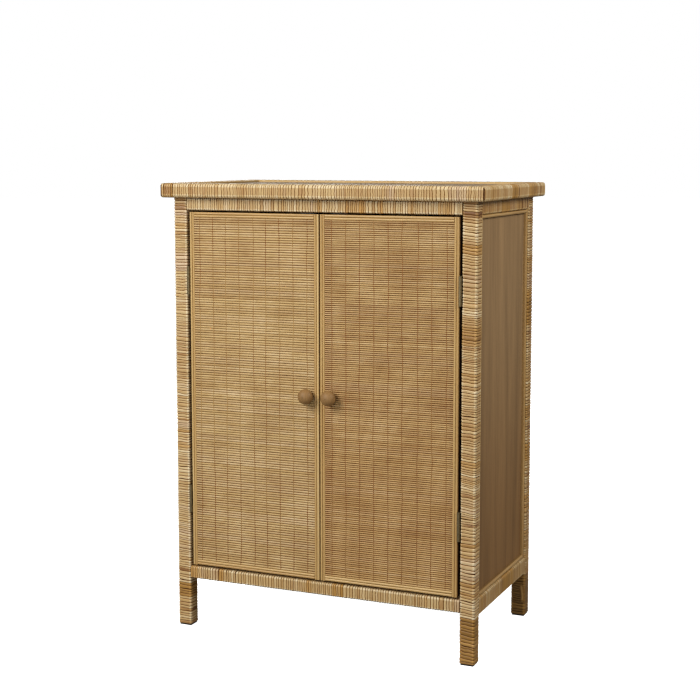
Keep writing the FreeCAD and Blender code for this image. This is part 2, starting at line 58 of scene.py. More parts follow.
MM = 0.001
X, Y, Z = range(3)
SIDES = (("left", -1), ("right", 1))
FEW = 0.05  # how many of a member's strips are wider or part from their neighbour
CALM_END = 14 * MM  # over which the strips' edges straighten at a member's ends
MEETING_EXTRA = 0.5 * MM  # by which the cane is wider where the doors meet
DOOR_CANE = 5.7 * MM
SIDE_CANE = 8.5 * MM  # width of the node
SIDE_SLIM = 7.6 * MM  # width as laid
SIDE_PROUD = 1.5 * MM  # how far it stands beyond the node
TOP_CANE = 5 * MM
HINGE_TALL = 62 * MM
LEAF_THICK = 1.6 * MM
LEAF_SCREWS = ((0.16, 0), (0.5, -3 * MM), (0.84, 0))  # share of the way up, and shift from the line of screws
STRIKE_SCREW = 2.4 * MM
FLAT_STRIP = (0, 0.25, 0.75, 1, 0)  # places across a strip of four points


# ---------------------------------------------------------------- meshes


def corners(node):
    """The lowest and highest corner of a frame node."""
    return np.array(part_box(node))


def solid_bundle(name, points, normals, along=0.0, across=0.5, tint=(0.5, 0.5, 0.5), closed_rows=False, bend=0.0):
    """One mesh of many closed solids.

    points and normals are (solids, rows, columns, 3): each row is a closed ring of columns, and the rows either
    close on themselves or end in flat caps. along and across are the UV values with one more row where the rows
    close and one more column; tint is a colour for each solid, and bend a number for each row. A solid whose
    summed face volume is negative is turned right side out.
    """
    count, rows, columns, _ = points.shape
    index = np.arange(count * rows * columns).reshape(count, rows, columns)
    if closed_rows:
        index = np.concatenate([index, index[:, :1]], 1)
    index = np.concatenate([index, index[:, :, :1]], 2)
    grid = np.stack([index, np.broadcast_to(along, index.shape), np.broadcast_to(across, index.shape)], -1)
    loops = np.stack([grid[:, :-1, :-1], grid[:, 1:, :-1], grid[:, 1:, 1:], grid[:, :-1, 1:]], 3)
    flat = points.reshape(-1, 3)
    middle = points.mean((1, 2))[:, None, None]
    a, b, c, d = (flat[loops[..., k, 0].astype(int)] - middle for k in range(4))
    inside_out = np.einsum("nijk,nijk->n", a + b + c + d, np.cross(c - a, d - b)) < 0
    loops[inside_out] = loops[inside_out][..., ::-1, :]
    loops = loops.reshape(-1, 3)
    loop_normal = normals.reshape(-1, 3)[loops[:, 0].astype(int)]
    totals = np.full(len(loops) // 4, 4)
    if not closed_rows:
        caps = np.stack([grid[:, 0, :-1], grid[:, -1, :-1][:, ::-1]], 1)
        caps[inside_out] = caps[inside_out][..., ::-1, :]
        caps[..., 2] = 0.5
        way = points[:, 0].mean(1) - points[:, -1].mean(1)
        way /= np.linalg.norm(way, axis=1)[:, None]
        cap_normal = np.stack([way, -way], 1)[:, :, None].repeat(columns, 2)
        loops = np.concatenate([loops, caps.reshape(-1, 3)])
        loop_normal = np.concatenate([loop_normal, cap_normal.reshape(-1, 3)])
        totals = np.concatenate([totals, np.full(2 * count, columns)])

    mesh = bpy.data.meshes.new(name)
    mesh.vertices.add(len(flat))
    mesh.vertices.foreach_set("co", flat.astype(np.float32).ravel())
    mesh.loops.add(len(loops))
    mesh.loops.foreach_set("vertex_index", loops[:, 0].astype(np.int32))
    mesh.polygons.add(len(totals))
    mesh.polygons.foreach_set("loop_start", (np.cumsum(totals) - totals).astype(np.int32))
    mesh.polygons.foreach_set("loop_total", totals.astype(np.int32))
    mesh.polygons.foreach_set("use_smooth", np.ones(len(totals), bool))
    mesh.update(calc_edges=True)
    mesh.uv_layers.new(name="run").data.foreach_set("uv", loops[:, 1:].astype(np.float32).ravel())
    colours = np.ones((count, rows, columns, 4), np.float32)
    colours[..., :3] = np.broadcast_to(tint, (count, 3))[:, None, None]
    colours[..., 3] = np.reshape(bend, (-1, 1))
    mesh.attributes.new("tint", "FLOAT_COLOR", "POINT").data.foreach_set("color", colours.ravel())
    mesh.normals_split_custom_set(loop_normal.astype(np.float32).tolist())
    return link(name, mesh)


def link(name, data):
    """Puts data into the scene as an object."""
    made = bpy.data.objects.new(name, data)
    bpy.context.scene.collection.objects.link(made)
    return made


def settle(piece, finish, body, slot, *nodes):
    """Gives a finished piece its material and body, and hides the frame nodes that it stands for; slot is not used.
    """
    piece.data.materials.append(finish)
    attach(piece, body)
    if nodes:
        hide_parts(*nodes)


def dress(finish, *nodes):
    """Gives frame nodes their material."""
    for node in nodes:
        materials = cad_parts[node].data.materials
        materials.clear()
        materials.append(finish)


def wound_path(half_a, half_b, radius, arc_steps):
    """A rectangle with quarter-circle corners, walked once round: points, outward normals and distance walked.

    Corner q's arc is its centre plus the radius at angles from q to q + 1 quarter turns. Two more points lie at
    thirds of the straight stretch that follows, with the normal of the arc's end.
    """
    angle = (np.arange(4)[:, None] + np.linspace(0, 1, arc_steps + 1)) * math.pi / 2
    normal = np.stack([np.cos(angle), np.sin(angle)], -1)
    quarter = np.array([[1, 1], [-1, 1], [-1, -1], [1, -1]])[:, None]
    arc = quarter * (np.array([half_a, half_b]) - radius) + radius * normal
    start, stop = arc[:, -1:], np.roll(arc[:, :1], -1, 0)
    flat = start + (stop - start) * np.array([1 / 3, 2 / 3])[:, None]
    point = np.concatenate([arc, flat], 1).reshape(-1, 2)
    normal = np.concatenate([normal, normal[:, -1:].repeat(2, 1)], 1).reshape(-1, 2)
    step = np.linalg.norm(np.roll(point, -1, 0) - point, axis=1)
    return point, normal, np.concatenate([[0], np.cumsum(step)])


def slow_noise(generator, count, spacing, spread, columns=1):
    """Random numbers at every spacing-th place, joined by straight lines, in one or more columns."""
    knots = generator.normal(0, spread, (max(2, count // spacing + 2), columns))
    place = np.linspace(0, len(knots) - 1, count)
    whole = np.minimum(place.astype(int), len(knots) - 2)
    return knots[whole] + (knots[whole + 1] - knots[whole]) * (place - whole)[:, None]


def strip_edges(generator, length, width):
    """Where one strip ends and the next begins: widths vary slowly along the member, each a little by itself, and
    a few are much wider."""
    count = round(length / width)
    widths = (1 + slow_noise(generator, count, 9, 0.16)[:, 0]).clip(0.75, 1.35)
    widths = widths * generator.uniform(0.72, 1.28, count)
    widths = np.where(generator.random(count) < FEW, 1.45 * widths, widths)
    edges = np.concatenate([[0], np.cumsum(widths)])
    return edges * length / edges[-1]


def peel_tints(generator, count, tone, spread):
    """Tone, hue and a random number for each turn. One peel makes a run of turns; a few turns are dark or pale.

    Hue is 0.5 for plain straw, less for ochre and more for pinkish grey.
    """
    run = np.repeat(np.arange(count), generator.integers(2, 9, count))[:count]
    kind = generator.random(count)[run]
    hue = 0.5 + generator.normal(0, 0.07, count)[run] + generator.normal(0, 0.07, count)
    hue += 0.16 * (kind > 0.86) - 0.26 * (kind < 0.12)
    tones = tone + spread * (0.6 * generator.normal(0, 1, count)[run] + generator.normal(0, 1, count))
    odd = generator.random(count)
    tones = tones - 3.2 * spread * (odd < 0.07) + 1.6 * spread * (odd > 0.93)
    return np.stack([tones.clip(0.03, 1), hue.clip(0, 1), generator.random(count)], 1)


def wound_strips(halves, radius, arc_steps, start, length, sizes, generator, winding):
    """Strips laid side by side round a square member, in the member's own axes: the section's two, then along.

    Each edge between two strips is a line round the member. It strays by a slow noise that neighbours share and by
    one of its own, leans by a share of the section's first axis, and runs level at the member's ends. A strip's
    section is four points: low edges and shoulders that stand a share of the thickness off the member's face. A
    slit is a bell-shaped opening between two strips, given as a height and a share of the way round.
    """
    point, normal, reach = wound_path(*halves, radius, arc_steps)
    edges = strip_edges(generator, length, sizes.strip_width * winding.width)
    count, around = len(edges) - 1, len(point)
    stray = slow_noise(generator, count + 1, 5, 1.3 * sizes.strip_wander, around)
    stray += generator.normal(0, sizes.strip_wander, (count + 1, around))
    stray -= (winding.lean + slow_noise(generator, count + 1, 20, 0.02)) * point[:, 0]
    calm = (np.minimum(edges, length - edges) / CALM_END).clip(0, 1)[:, None]
    line = edges[:, None] + stray * calm
    gap = np.full((count + 1, around), winding.gap * MM)
    openings = [(number, generator.random(), generator.uniform(0.5, 1.4)) for number in range(1, count)
                if generator.random() < FEW]
    openings += [(int(abs(edges + start - level).argmin()), place, 1.7) for level, place in winding.slits]
    for number, place, wide in openings:
        away = abs((reach[:-1] / reach[-1] - place + 0.5) % 1 - 0.5)
        gap[number] += wide * MM * np.exp(-((away / 0.11) ** 2))
    low, high = line[:-1] + gap[:-1] / 2, line[1:] - gap[1:] / 2
    low[0], high[-1] = edges[0], edges[-1]
    share = np.array([-1, -0.7, 0.7, 1])
    lift = np.array([-winding.deep, 0.02, 0.02, -winding.deep]) * sizes.strip_thick
    lean_out = np.radians([-64, -16, 16, 64])
    most = 0.25 * MM
    out = generator.normal(0, 0.14 * MM, (count, 1, 1)).clip(-most, most) + lift
    points = np.empty((count, around, 4, 3))
    points[..., :2] = point[:, None] + normal[:, None] * out[..., None]
    points[..., 2] = start + (low + high)[..., None] / 2 + (high - low)[..., None] / 2 * share
    normals = np.empty_like(points)
    normals[..., :2] = normal[:, None] * np.cos(lean_out)[:, None]
    normals[..., 2] = np.sin(lean_out)
    along = reach[:, None] + (np.arange(count) * reach[-1])[:, None, None]
    bend = np.tile(np.arange(arc_steps + 3) <= arc_steps, 4)
    return points, normals, along, (edges[:-1] + edges[1:]) / 2 + start, bend


class Winding(NamedTuple):
    """How one member is wound: the seed of its random numbers, its tone and hue, how far the turns lean, their
    width as a share of the mean, bands of other peel as (from, to, tone, hue) in metres along the member, slits as
    (place, share of the way round), how deep the strips' edges lie as a share of their thickness, the gap between
    strips in millimetres, and how much the turns' tones vary as a share of the mean."""

    seed: int
    tone: float
    hue: float = 0.0
    lean: float = 0.0
    width: float = 1.0
    bands: tuple = ()
    slits: tuple = ()
    deep: float = 0.95
    gap: float = 0.36
    vary: float = 1.0

    def tints(self, generator, middle, spread):
        """The turns' tints, with the member's own hue and its bands added."""
        tint = peel_tints(generator, len(middle), self.tone, spread * self.vary)
        tint[:, 1] += self.hue
        for low, high, *step in self.bands:
            tint[(middle > low) & (middle < high), :2] += step
        return tint.clip(0.03, 1)


# ---------------------------------------------------------------- materials


def adds(operation, swap=False):
    """A Python operator that adds a Math node; swap puts the wire behind the other value."""
    return lambda wire, *other: wire.finish.math(operation, *((*other, wire) if swap else (wire, *other)))


class Wire:
    """A socket of a material's tree; arithmetic on it adds Math nodes."""

    def __init__(self, finish, socket):
        self.finish = finish
        self.socket = socket

    __add__ = __radd__ = adds("ADD")
    __mul__ = __rmul__ = adds("MULTIPLY")
    __sub__ = adds("SUBTRACT")
    __rsub__ = adds("SUBTRACT", True)
    __pow__ = adds("POWER")
    __abs__ = adds("ABSOLUTE")


class Finish:
    """A material whose tree is written as expressions."""

    def __init__(self, name, **constants):
        self.material = bpy.data.materials.new(name)
        self.material.use_nodes = True
        self.tree = self.material.node_tree
        self.shader = self.tree.nodes["Principled BSDF"]
        for socket, value in constants.items():
            self.shader.inputs[socket.replace("_", " ").title().replace("Ior", "IOR")].default_value = value

    def node(self, kind, settings=None, inputs=None, output=0):
        """Adds a node: its settings first, then the values or links of its sockets. Returns one output."""
        made = self.tree.nodes.new(kind)
        for key, value in (settings or {}).items():
            setattr(made, key, value)
        for key, value in (inputs or {}).items():
            self.feed(made.inputs[key], value)
        return Wire(self, made.outputs[output])

    def feed(self, socket, value):
        if isinstance(value, Wire):
            self.tree.links.new(value.socket, socket)
        else:
            socket.default_value = value

    def math(self, operation, *values):
        return self.node("ShaderNodeMath", {"operation": operation}, dict(enumerate(values)))

    def clamp(self, value):
        return self.node("ShaderNodeClamp", None, {0: value})

    def step(self, value, low, high):
        """Rises smoothly from 0 at low to 1 at high."""
        return self.node("ShaderNodeMapRange", {"interpolation_type": "SMOOTHSTEP"},
                         {"Value": value, "From Min": low, "From Max": high})

    def point(self, x, y, z=0.0):
        return self.node("ShaderNodeCombineXYZ", None, {0: x, 1: y, 2: z})

    def parts(self, vector):
        return [self.node("ShaderNodeSeparateXYZ", None, {0: vector}, k) for k in range(3)]

    def noise(self, vector, detail=2.0, rough=0.5, scale=1.0, distort=0.0):
        return self.node("ShaderNodeTexNoise", None, {"Vector": vector, "Scale": scale, "Detail": detail,
                                                      "Roughness": rough, "Distortion": distort})

    def grain(self, stretch, detail, rough, distort=0.0):
        """Noise over the cabinet's own axes, finer along an axis the larger its factor."""
        return self.noise(self.node("ShaderNodeMapping", None, {0: self.here(), 3: stretch}), detail, rough,
                          distort=distort)

    def mix(self, factor, a, b, blend="MIX"):
        return self.node("ShaderNodeMix", {"data_type": "RGBA", "blend_type": blend}, {0: factor, 6: a, 7: b}, 2)

    def shades(self, factor, colour, dark, light):
        """From one share of a colour at factor 0 to another at 1."""
        return self.mix(factor, rgba(colour, dark), rgba(colour, light))

    def ramp(self, value, *stops):
        """A colour ramp of (place, colour) stops."""
        ramp = self.node("ShaderNodeValToRGB", None, {0: value})
        elements = ramp.socket.node.color_ramp.elements
        while len(elements) < len(stops):
            elements.new(0.5)
        for element, (place, colour) in zip(elements, stops):
            element.position = place
            element.color = (*colour, 1)
        return ramp

    def here(self):
        return self.node("ShaderNodeTexCoord", output=3)

    def run(self):
        """Distance along a strip or stick in metres, and the share across it from 0 to 1."""
        return self.parts(self.node("ShaderNodeUVMap", {"uv_map": "run"}))[:2]

    def tint(self):
        """The three numbers that each solid of a bundle carries: tone, hue and a random one."""
        colour = self.node("ShaderNodeAttribute", {"attribute_name": "tint"})
        return [self.node("ShaderNodeSeparateColor", None, {0: colour}, k) for k in range(3)]

    def strand(self, apart):
        """Distance along, share across, tone, hue, and an offset that keeps the noises of two solids apart."""
        tone, hue, random = self.tint()
        return *self.run(), tone, hue, random * apart

    def bend(self):
        """One where a strip turns round an edge of its member, nought on the flats."""
        return self.step(self.node("ShaderNodeAttribute", {"attribute_name": "tint"}, output=3), 0.72, 1.0)

    def surface(self, colour, roughness=0.5, relief=None, strength=1.0, depth=0.0):
        """Feeds the shader; relief is a height that bumps the surface by as much as depth."""
        self.feed(self.shader.inputs["Base Color"], colour)
        self.feed(self.shader.inputs["Roughness"], roughness)
        if relief is not None:
            bump = self.node("ShaderNodeBump", None, {"Height": relief, "Strength": strength, "Distance": depth})
            self.feed(self.shader.inputs["Normal"], bump)
        return self.material


def rgba(colour, share=1.0):
    return (*(channel * share for channel in colour), 1)


def peel_finish(colours):
    """Rattan peel: fibres along the strip, brown nodes, rolled edges that are browned partly as painted shade of
    the grooves, a satin skin, and bends lightened as a painted highlight.
    """
    f = Finish("Rattan peel", specular_ior_level=0.28)
    along, across, tone, hue, offset = f.strand(37.0)
    slow = f.noise(f.point(along * 16.0, offset), 3.0)
    fibre = f.noise(f.point(along * 30.0, across * 7.0, offset), 4.0, 0.65)
    knot = f.step(f.noise(f.point(along * 6.0, across * 0.6, offset + 5.0), 1.0), 0.68, 0.76)
    # The bends round the member's edges are lightened: a painted highlight where the strips turn the corner.
    shade = f.clamp(tone + (slow - 0.5) * 0.42 + (fibre - 0.5) * 0.5 - knot * 0.3 + f.bend() * 0.2)
    colour = f.ramp(shade, (0.0, [c * 0.3 for c in colours.peel_brown]), (0.22, colours.peel_brown),
                    (0.45, colours.peel_tan), (0.72, colours.peel_straw), (1.0, colours.peel_pale))
    colour = f.mix(f.step(hue, 0.5, 0.05) * 0.9, colour, f.shades(shade, colours.peel_ochre, 0.35, 1.3))
    colour = f.mix(f.step(hue, 0.55, 1.0) * 0.8, colour, f.shades(shade, colours.peel_grey, 0.3, 1.35))
    split = f.step(f.noise(f.point(along * 12.0, across * 5.0, offset + 9.0), 1.0), 0.6, 0.7)
    # Each strip's edges turn to the edge colour: partly the peel's own browner rolled edge, partly painted shade in
    # the grooves between strips.
    edge = f.step(abs(across - 0.5) * 2.0 + (fibre - 0.5) * 0.4, 0.52, 0.92)
    rolled = f.shades(tone, colours.peel_edge, 0.3, 1.2)
    colour = f.mix(f.clamp(edge * 0.92 + split * 0.5), colour, rolled)
    return f.surface(colour, 0.48 - fibre * 0.18, fibre, 0.3, 0.4 * MM)


def core_finish(colours):
    """Sawn wood of the members inside the winding, made near black as painted shade where it shows between the
    strips.
    """
    f = Finish("Frame wood", specular_ior_level=0.1)
    grain = f.grain((90, 90, 14), 5.0, 0.6, 0.4)
    return f.surface(f.shades(grain, colours.frame_wood, 0.7, 1.25), 0.55 + grain * 0.3, grain, 0.3, 0.4 * MM)


def worn_middle(f, x, z):
    """How far the left mat is rubbed smooth and pale about the middle of its height: two ramps in z, broken up by
    noise."""
    return f.step(x, 0.0, -0.02) * f.step(z, 0.28, 0.48) * f.step(z, 0.86, 0.7) * (
        0.6 + 0.8 * f.step(f.noise(f.here(), 1.0, scale=8.0), 0.35, 0.65))


def stick_finish(colours, wide):
    """Split sticks of a mat: each has its own tone and streaks along it. Its red-brown foot in the groove is partly
    the stick's darker flank and partly painted groove shade; it is deepest near the mat's two ends and most of all
    on the left, where it is also a painted shadow of the bead and a stain where the ends are bound. The right mat
    reddens towards its foot, and the left one is worn about its middle."""
    f = Finish("Split sticks", specular_ior_level=0.3)
    along, across, tone, hue, offset = f.strand(53.0)
    slow = f.noise(f.point(along * 30.0, offset), 3.0, 0.6)
    fibre = f.noise(f.point(along * 60.0, across * 4.0, offset), 3.0, 0.6)
    patch = f.noise(f.here(), 2.0, scale=14.0)
    x, _, z = f.parts(f.here())
    worn = f.clamp(worn_middle(f, x, z))
    shade = f.clamp(tone + (slow - 0.5) * 0.5 + (fibre - 0.5) * 0.3 + (patch - 0.5) * 0.65 + worn * 0.02)
    colour = f.ramp(shade, (0.0, colours.stick_brown), (0.3, colours.stick_amber), (0.65, colours.stick_straw),
                    (1.0, colours.stick_pale))
    colour = f.mix(hue * 0.25, colour, rgba(colours.peel_grey))
    right = f.step(x, -0.004, 0.004)
    red = right * (0.3 + 0.7 * f.step(z, 0.85, 0.25))
    colour = f.mix(red * 0.75, colour, rgba(colours.mat_red), "MULTIPLY")
    # Near the mat's ends, most of all the left one: a painted shadow of the bead, with a stain where the ends are
    # bound.
    end = f.clamp((1.0 - f.step(along, 0.004, 0.026)) + 0.5 * f.step(along, wide - 0.014, wide - 0.004))
    # The sticks' feet in the grooves: partly their darker flanks, partly painted groove shade.
    foot = f.step(abs(across - 0.5) * 2.0, 0.36 - end * 0.22 - right * 0.1, 0.9)
    groove = f.mix(f.clamp(end + right * 0.55), rgba(colours.stick_groove_shade), rgba(colours.stick_stain_and_shadow))
    colour = f.mix(f.clamp(foot * (0.76 + end * 0.28 + right * 0.28 - worn * 0.52)), colour, groove)
    return f.surface(colour, 0.62 - fibre * 0.15, fibre, 0.3, 0.4 * MM)


def thread_finish(colours):
    """Twined thread, its length told in turns: dark in the grooves as painted shade, and tan where it rides over a
    stick. Here and there it sinks in and pales, most of all where the mat is worn."""
    f = Finish("Binding thread", specular_ior_level=0.2)
    turns, across = f.run()
    random = f.tint()[2]
    x, _, z = f.parts(f.here())
    twist = f.noise(f.point(turns * 4.7, across * 3.0), 2.0)
    # The thread is tan over each stick and dark between them: the dark in the grooves is painted shade.
    crest = f.step(0.5 - 0.5 * f.math("COSINE", turns * (2 * math.pi)), 0.3, 0.85) * 0.8
    left = f.step(x, 0.004, -0.004)
    sunk = f.step(f.noise(f.point(turns * 0.045, random * 31.0), 2.0), 0.45, 0.62) * (0.25 + left * 0.4)
    sunk = sunk + worn_middle(f, x, z) * (0.35 + random * 0.4)
    colour = f.shades(twist, colours.thread, 0.6, 1.5)
    colour = f.mix(f.clamp(crest + sunk), colour, rgba(colours.stick_amber, 0.95))
    return f.surface(colour, 0.75 + twist * 0.15, twist, 0.5, 0.3 * MM)


def bead_finish(colours):
    """Cane half-rounds: straw, with long streaks, a satin skin and a foot darkened as painted shade where the bead
    meets its neighbour and the panel.
    """
    f = Finish("Cane bead", specular_ior_level=0.4)
    along, across, tone, _, offset = f.strand(71.0)
    slow = f.noise(f.point(along * 5.0, offset), 2.0)
    streak = f.noise(f.point(along * 7.0, across * 7.0, offset), 4.0, 0.6)
    shade = f.clamp(tone + (slow - 0.5) * 0.3 + (streak - 0.5) * 0.75)
    colour = f.ramp(shade, (0.0, colours.bead_dark), (0.42, colours.bead_amber), (0.75, colours.bead_straw),
                    (1.0, colours.bead_pale))
    # Darker foot: painted shade in the crease where the bead meets the panel and its neighbour.
    foot = f.step(abs(across - 0.5) * 2.0, 0.62, 1.0)
    colour = f.mix(foot * 0.7, colour, rgba(colours.bead_dark, 0.55))
    return f.surface(colour, 0.42 - streak * 0.12, streak, 0.25, 0.4 * MM)


def veneer_finish(colours, name, base, stretch, contrast, gloss=0.25, low=None):
    """Matt sliced veneer: long grain from noise drawn out along one axis, with fine pores over slow bands. The
    lower part of an upright sheet may be darkened and warmed with a colour of its own, as painted shade towards the
    floor."""
    f = Finish(name, specular_ior_level=gloss)
    bands = f.grain(stretch, 4.0, 0.55, 0.8)
    pores = f.grain([s * 9 for s in stretch], 3.0, 0.7)
    shade = f.clamp(0.5 + (bands - 0.5) * contrast + (pores - 0.5) * contrast * 0.45)
    red, green, blue = getattr(colours, base)
    colour = f.mix(shade, rgba((red, green, blue), 0.62), (red * 1.36, green * 1.38, blue * 1.42, 1))
    if low is not None:
        height = f.parts(f.here())[Z]
        # Darker and warmer towards the floor: painted shade.
        colour = f.mix(f.step(height, 0.8, 0.15), colour, rgba(getattr(colours, low)), "MULTIPLY")
    return f.surface(colour, 0.6 + pores * 0.15, pores, 0.25, 0.3 * MM)


def frame_finish(colours, edge):
    """Plain wood whose hinge edges, a given distance from the middle of the cabinet, are painted dark as the shade
    of the gap between door and post.
    """
    f = Finish("Door frame wood", specular_ior_level=0.2)
    grain = f.grain((70, 70, 4), 5.0, 0.6)
    # The hinge edges: painted shade of the gap between door and post.
    stain = f.step(abs(f.parts(f.here())[X]), edge - 0.9 * MM, edge - 0.2 * MM)
    colour = f.mix(stain, f.shades(grain, colours.bearer, 0.7, 1.35), rgba(colours.edge_gap_shade))
    return f.surface(colour, 0.6 + grain * 0.2, grain, 0.25, 0.3 * MM)


def knob_finish(colours, centres):
    """Turned hardwood: upright grain, and a darker plug in the middle of each face."""
    f = Finish("Turned knob wood", specular_ior_level=0.32)
    grain = f.grain((560, 180, 40), 4.0, 0.66, 0.5)
    x, _, z = f.parts(f.here())
    plug = 0.0
    for centre_x, centre_z in centres:
        away = ((x - centre_x) ** 2.0 + (z - centre_z) ** 2.0) ** 0.5
        plug = plug + (1.0 - f.step(away, 1.2 * MM, 2.6 * MM))
    colour = f.mix(plug * 0.4, f.shades(grain, colours.knob, 0.7, 1.3), rgba(colours.knob, 0.45))
    return f.surface(colour, 0.48 + grain * 0.14, grain, 0.2, 0.3 * MM)


def brass_finish(colours):
    """Aged brass: fine noise darkens it and dulls its gloss."""
    f = Finish("Aged brass", metallic=0.85)
    stain = f.noise(f.here(), 5.0, 0.6, 260.0)
    return f.surface(f.shades(stain, colours.brass, 0.55, 1.3), 0.36 + stain * 0.26, stain, 0.1, 0.2 * MM)


def plain_finish(colours, name, tint, roughness, metallic, grain):
    """Moulded plastic or rolled steel: one colour with fine mottling in its tone and gloss."""
    f = Finish(name, metallic=metallic)
    mottle = f.noise(f.here(), 3.0, scale=grain)
    return f.surface(f.shades(mottle, getattr(colours, tint), 0.8, 1.2), roughness - 0.08 + mottle * 0.16, mottle,
                     0.1, 0.1 * MM)


# ---------------------------------------------------------------- sizes and colours


def number(name, description, value, **more):
    return bpy.props.FloatProperty(name=name, description=description, default=value, **more)


def length(name, description, value):
    return number(name, description, value, unit="LENGTH", precision=5)


def power(name, description, value):
    return number(name, description, value, unit="POWER")


def share(name, description, value):
    return number(name, description, value, subtype="FACTOR", min=0, max=1)


def colour(name, description, value):
    return bpy.props.FloatVectorProperty(name=name, description=description, default=value, subtype="COLOR",
                                         size=3, min=0, max=1)


class CabinetSizes(bpy.types.PropertyGroup):
    strip_width: length("Strip width", "Mean width of the peel strips", 6.05 * MM)
    strip_thick: length("Strip thickness", "Height of a strip from its edges to its crest", 1.4 * MM)
    mitre_gap: length("Mitre gap", "Slit where the table top's members meet", 1.2 * MM)
    strip_wander: length("Strip wander", "How far a strip's edge strays from true", 0.3 * MM)
    tone_spread: share("Tone spread", "How much the strips differ in tone", 0.055)
    post_round: length("Post edge", "Rounding of the posts' and rails' long edges", 3.6 * MM)
    top_round: length("Top edge", "Rounding of the table top's long edges and corners", 7.0 * MM)
    stick_pitch: length("Stick pitch", "From one stick of the door mats to the next", 4.6 * MM)
    stick_height: length("Stick height", "How far the sticks stand off the door's plywood", 3.3 * MM)
    thread_pitch: length("Thread pitch", "From one binding thread to the next", 32.4 * MM)
    thread_width: length("Thread width", "Mean width of a binding thread", 1.4 * MM)
    knob_neck: length("Knob neck", "Radius of the knobs' necks", 6.5 * MM)
    screw: length("Screw head", "Radius of the hinge screws' heads", 2.9 * MM)


class CabinetColours(bpy.types.PropertyGroup):
    peel_brown: colour("Peel brown", "Nodes and stained strips", (0.21, 0.088, 0.028))
    peel_tan: colour("Peel tan", "Darker strips", (0.42, 0.235, 0.088))
    peel_straw: colour("Peel straw", "Most strips", (0.588, 0.412, 0.190))
    peel_pale: colour("Peel pale", "The palest strips", (0.78, 0.645, 0.412))
    peel_ochre: colour("Peel ochre", "Runs of yellow-brown peel", (0.45, 0.232, 0.050))
    peel_grey: colour("Peel grey", "Runs of pinkish grey peel", (0.52, 0.375, 0.25))
    # Partly the peel's own rolled edge, partly painted shade of the grooves between strips.
    peel_edge: colour("Peel edge", "Rolled edges of the strips", (0.325, 0.136, 0.028))
    # Near black: painted shade seen where the strips part.
    frame_wood: colour("Frame wood", "Members inside the winding", (0.08, 0.031, 0.009))
    bearer: colour("Plain wood", "Shelf bearers and door frames", (0.36, 0.235, 0.12))
    # Painted shade of the gap between door and post.
    edge_gap_shade: colour("Edge stain", "The doors' stained hinge edges", (0.035, 0.018, 0.009))
    stick_brown: colour("Stick brown", "Darkest sticks", (0.22, 0.11, 0.036))
    stick_amber: colour("Stick amber", "Darker sticks", (0.38, 0.225, 0.08))
    stick_straw: colour("Stick straw", "Most sticks", (0.525, 0.355, 0.148))
    stick_pale: colour("Stick pale", "The palest sticks", (0.685, 0.515, 0.28))
    # Partly the sticks' darker flanks, partly painted shade of the grooves.
    stick_groove_shade: colour("Stick groove", "The sticks' feet in the grooves", (0.37, 0.138, 0.034))
    # Partly a stain at the bound ends, partly the painted shadow of the bead.
    stick_stain_and_shadow: colour("Stick stain", "The sticks' feet near the mat's ends", (0.23, 0.074, 0.018))
    mat_red: colour("Mat red", "What the right mat's sticks are tinted with", (0.90, 0.79, 0.64))
    thread: colour("Thread", "Binding threads of the mats", (0.19, 0.064, 0.017))
    bead_dark: colour("Bead dark", "Streaks in the beads", (0.25, 0.135, 0.045))
    bead_amber: colour("Bead amber", "Darker parts of the beads", (0.45, 0.265, 0.09))
    bead_straw: colour("Bead straw", "Most of the beads", (0.59, 0.395, 0.16))
    bead_pale: colour("Bead pale", "The palest parts of the beads", (0.76, 0.59, 0.32))
    panel: colour("Panel veneer", "Side, back and inner panels", (0.30, 0.181, 0.080))
    # Painted shade towards the floor.
    panel_low: colour("Panel foot", "What the panels are tinted with near the bottom", (0.75, 0.645, 0.51))
    top: colour("Top veneer", "The sunk panel of the table top", (0.31, 0.222, 0.133))
    knob: colour("Knob wood", "Turned knobs", (0.262, 0.143, 0.050))
    brass: colour("Brass", "Hinges", (0.22, 0.17, 0.09))
    steel: colour("Steel", "Strike plates and catch poles", (0.34, 0.34, 0.33))
    plastic: colour("Plastic", "Catches and glides", (0.035, 0.028, 0.022))
    floor: colour("Floor", "Studio floor", (0.92, 0.92, 0.92))


class StageSettings(bpy.types.PropertyGroup):
    key_power: power("Key light", "Power of the upper left softbox", 59.0)
    front_power: power("Front light", "Power of the wide softbox in front", 26.5)
    side_power: power("Side light", "Power of the softbox on the right", 29.5)
    rear_power: power("Rear light", "Power of the low softbox behind on the left", 48.0)
    fill: number("Fill light", "Radiance of the studio round the cabinet", 0.28, min=0)
    floor_return: share("Floor return", "How much light the floor gives back to the cabinet", 0.2)
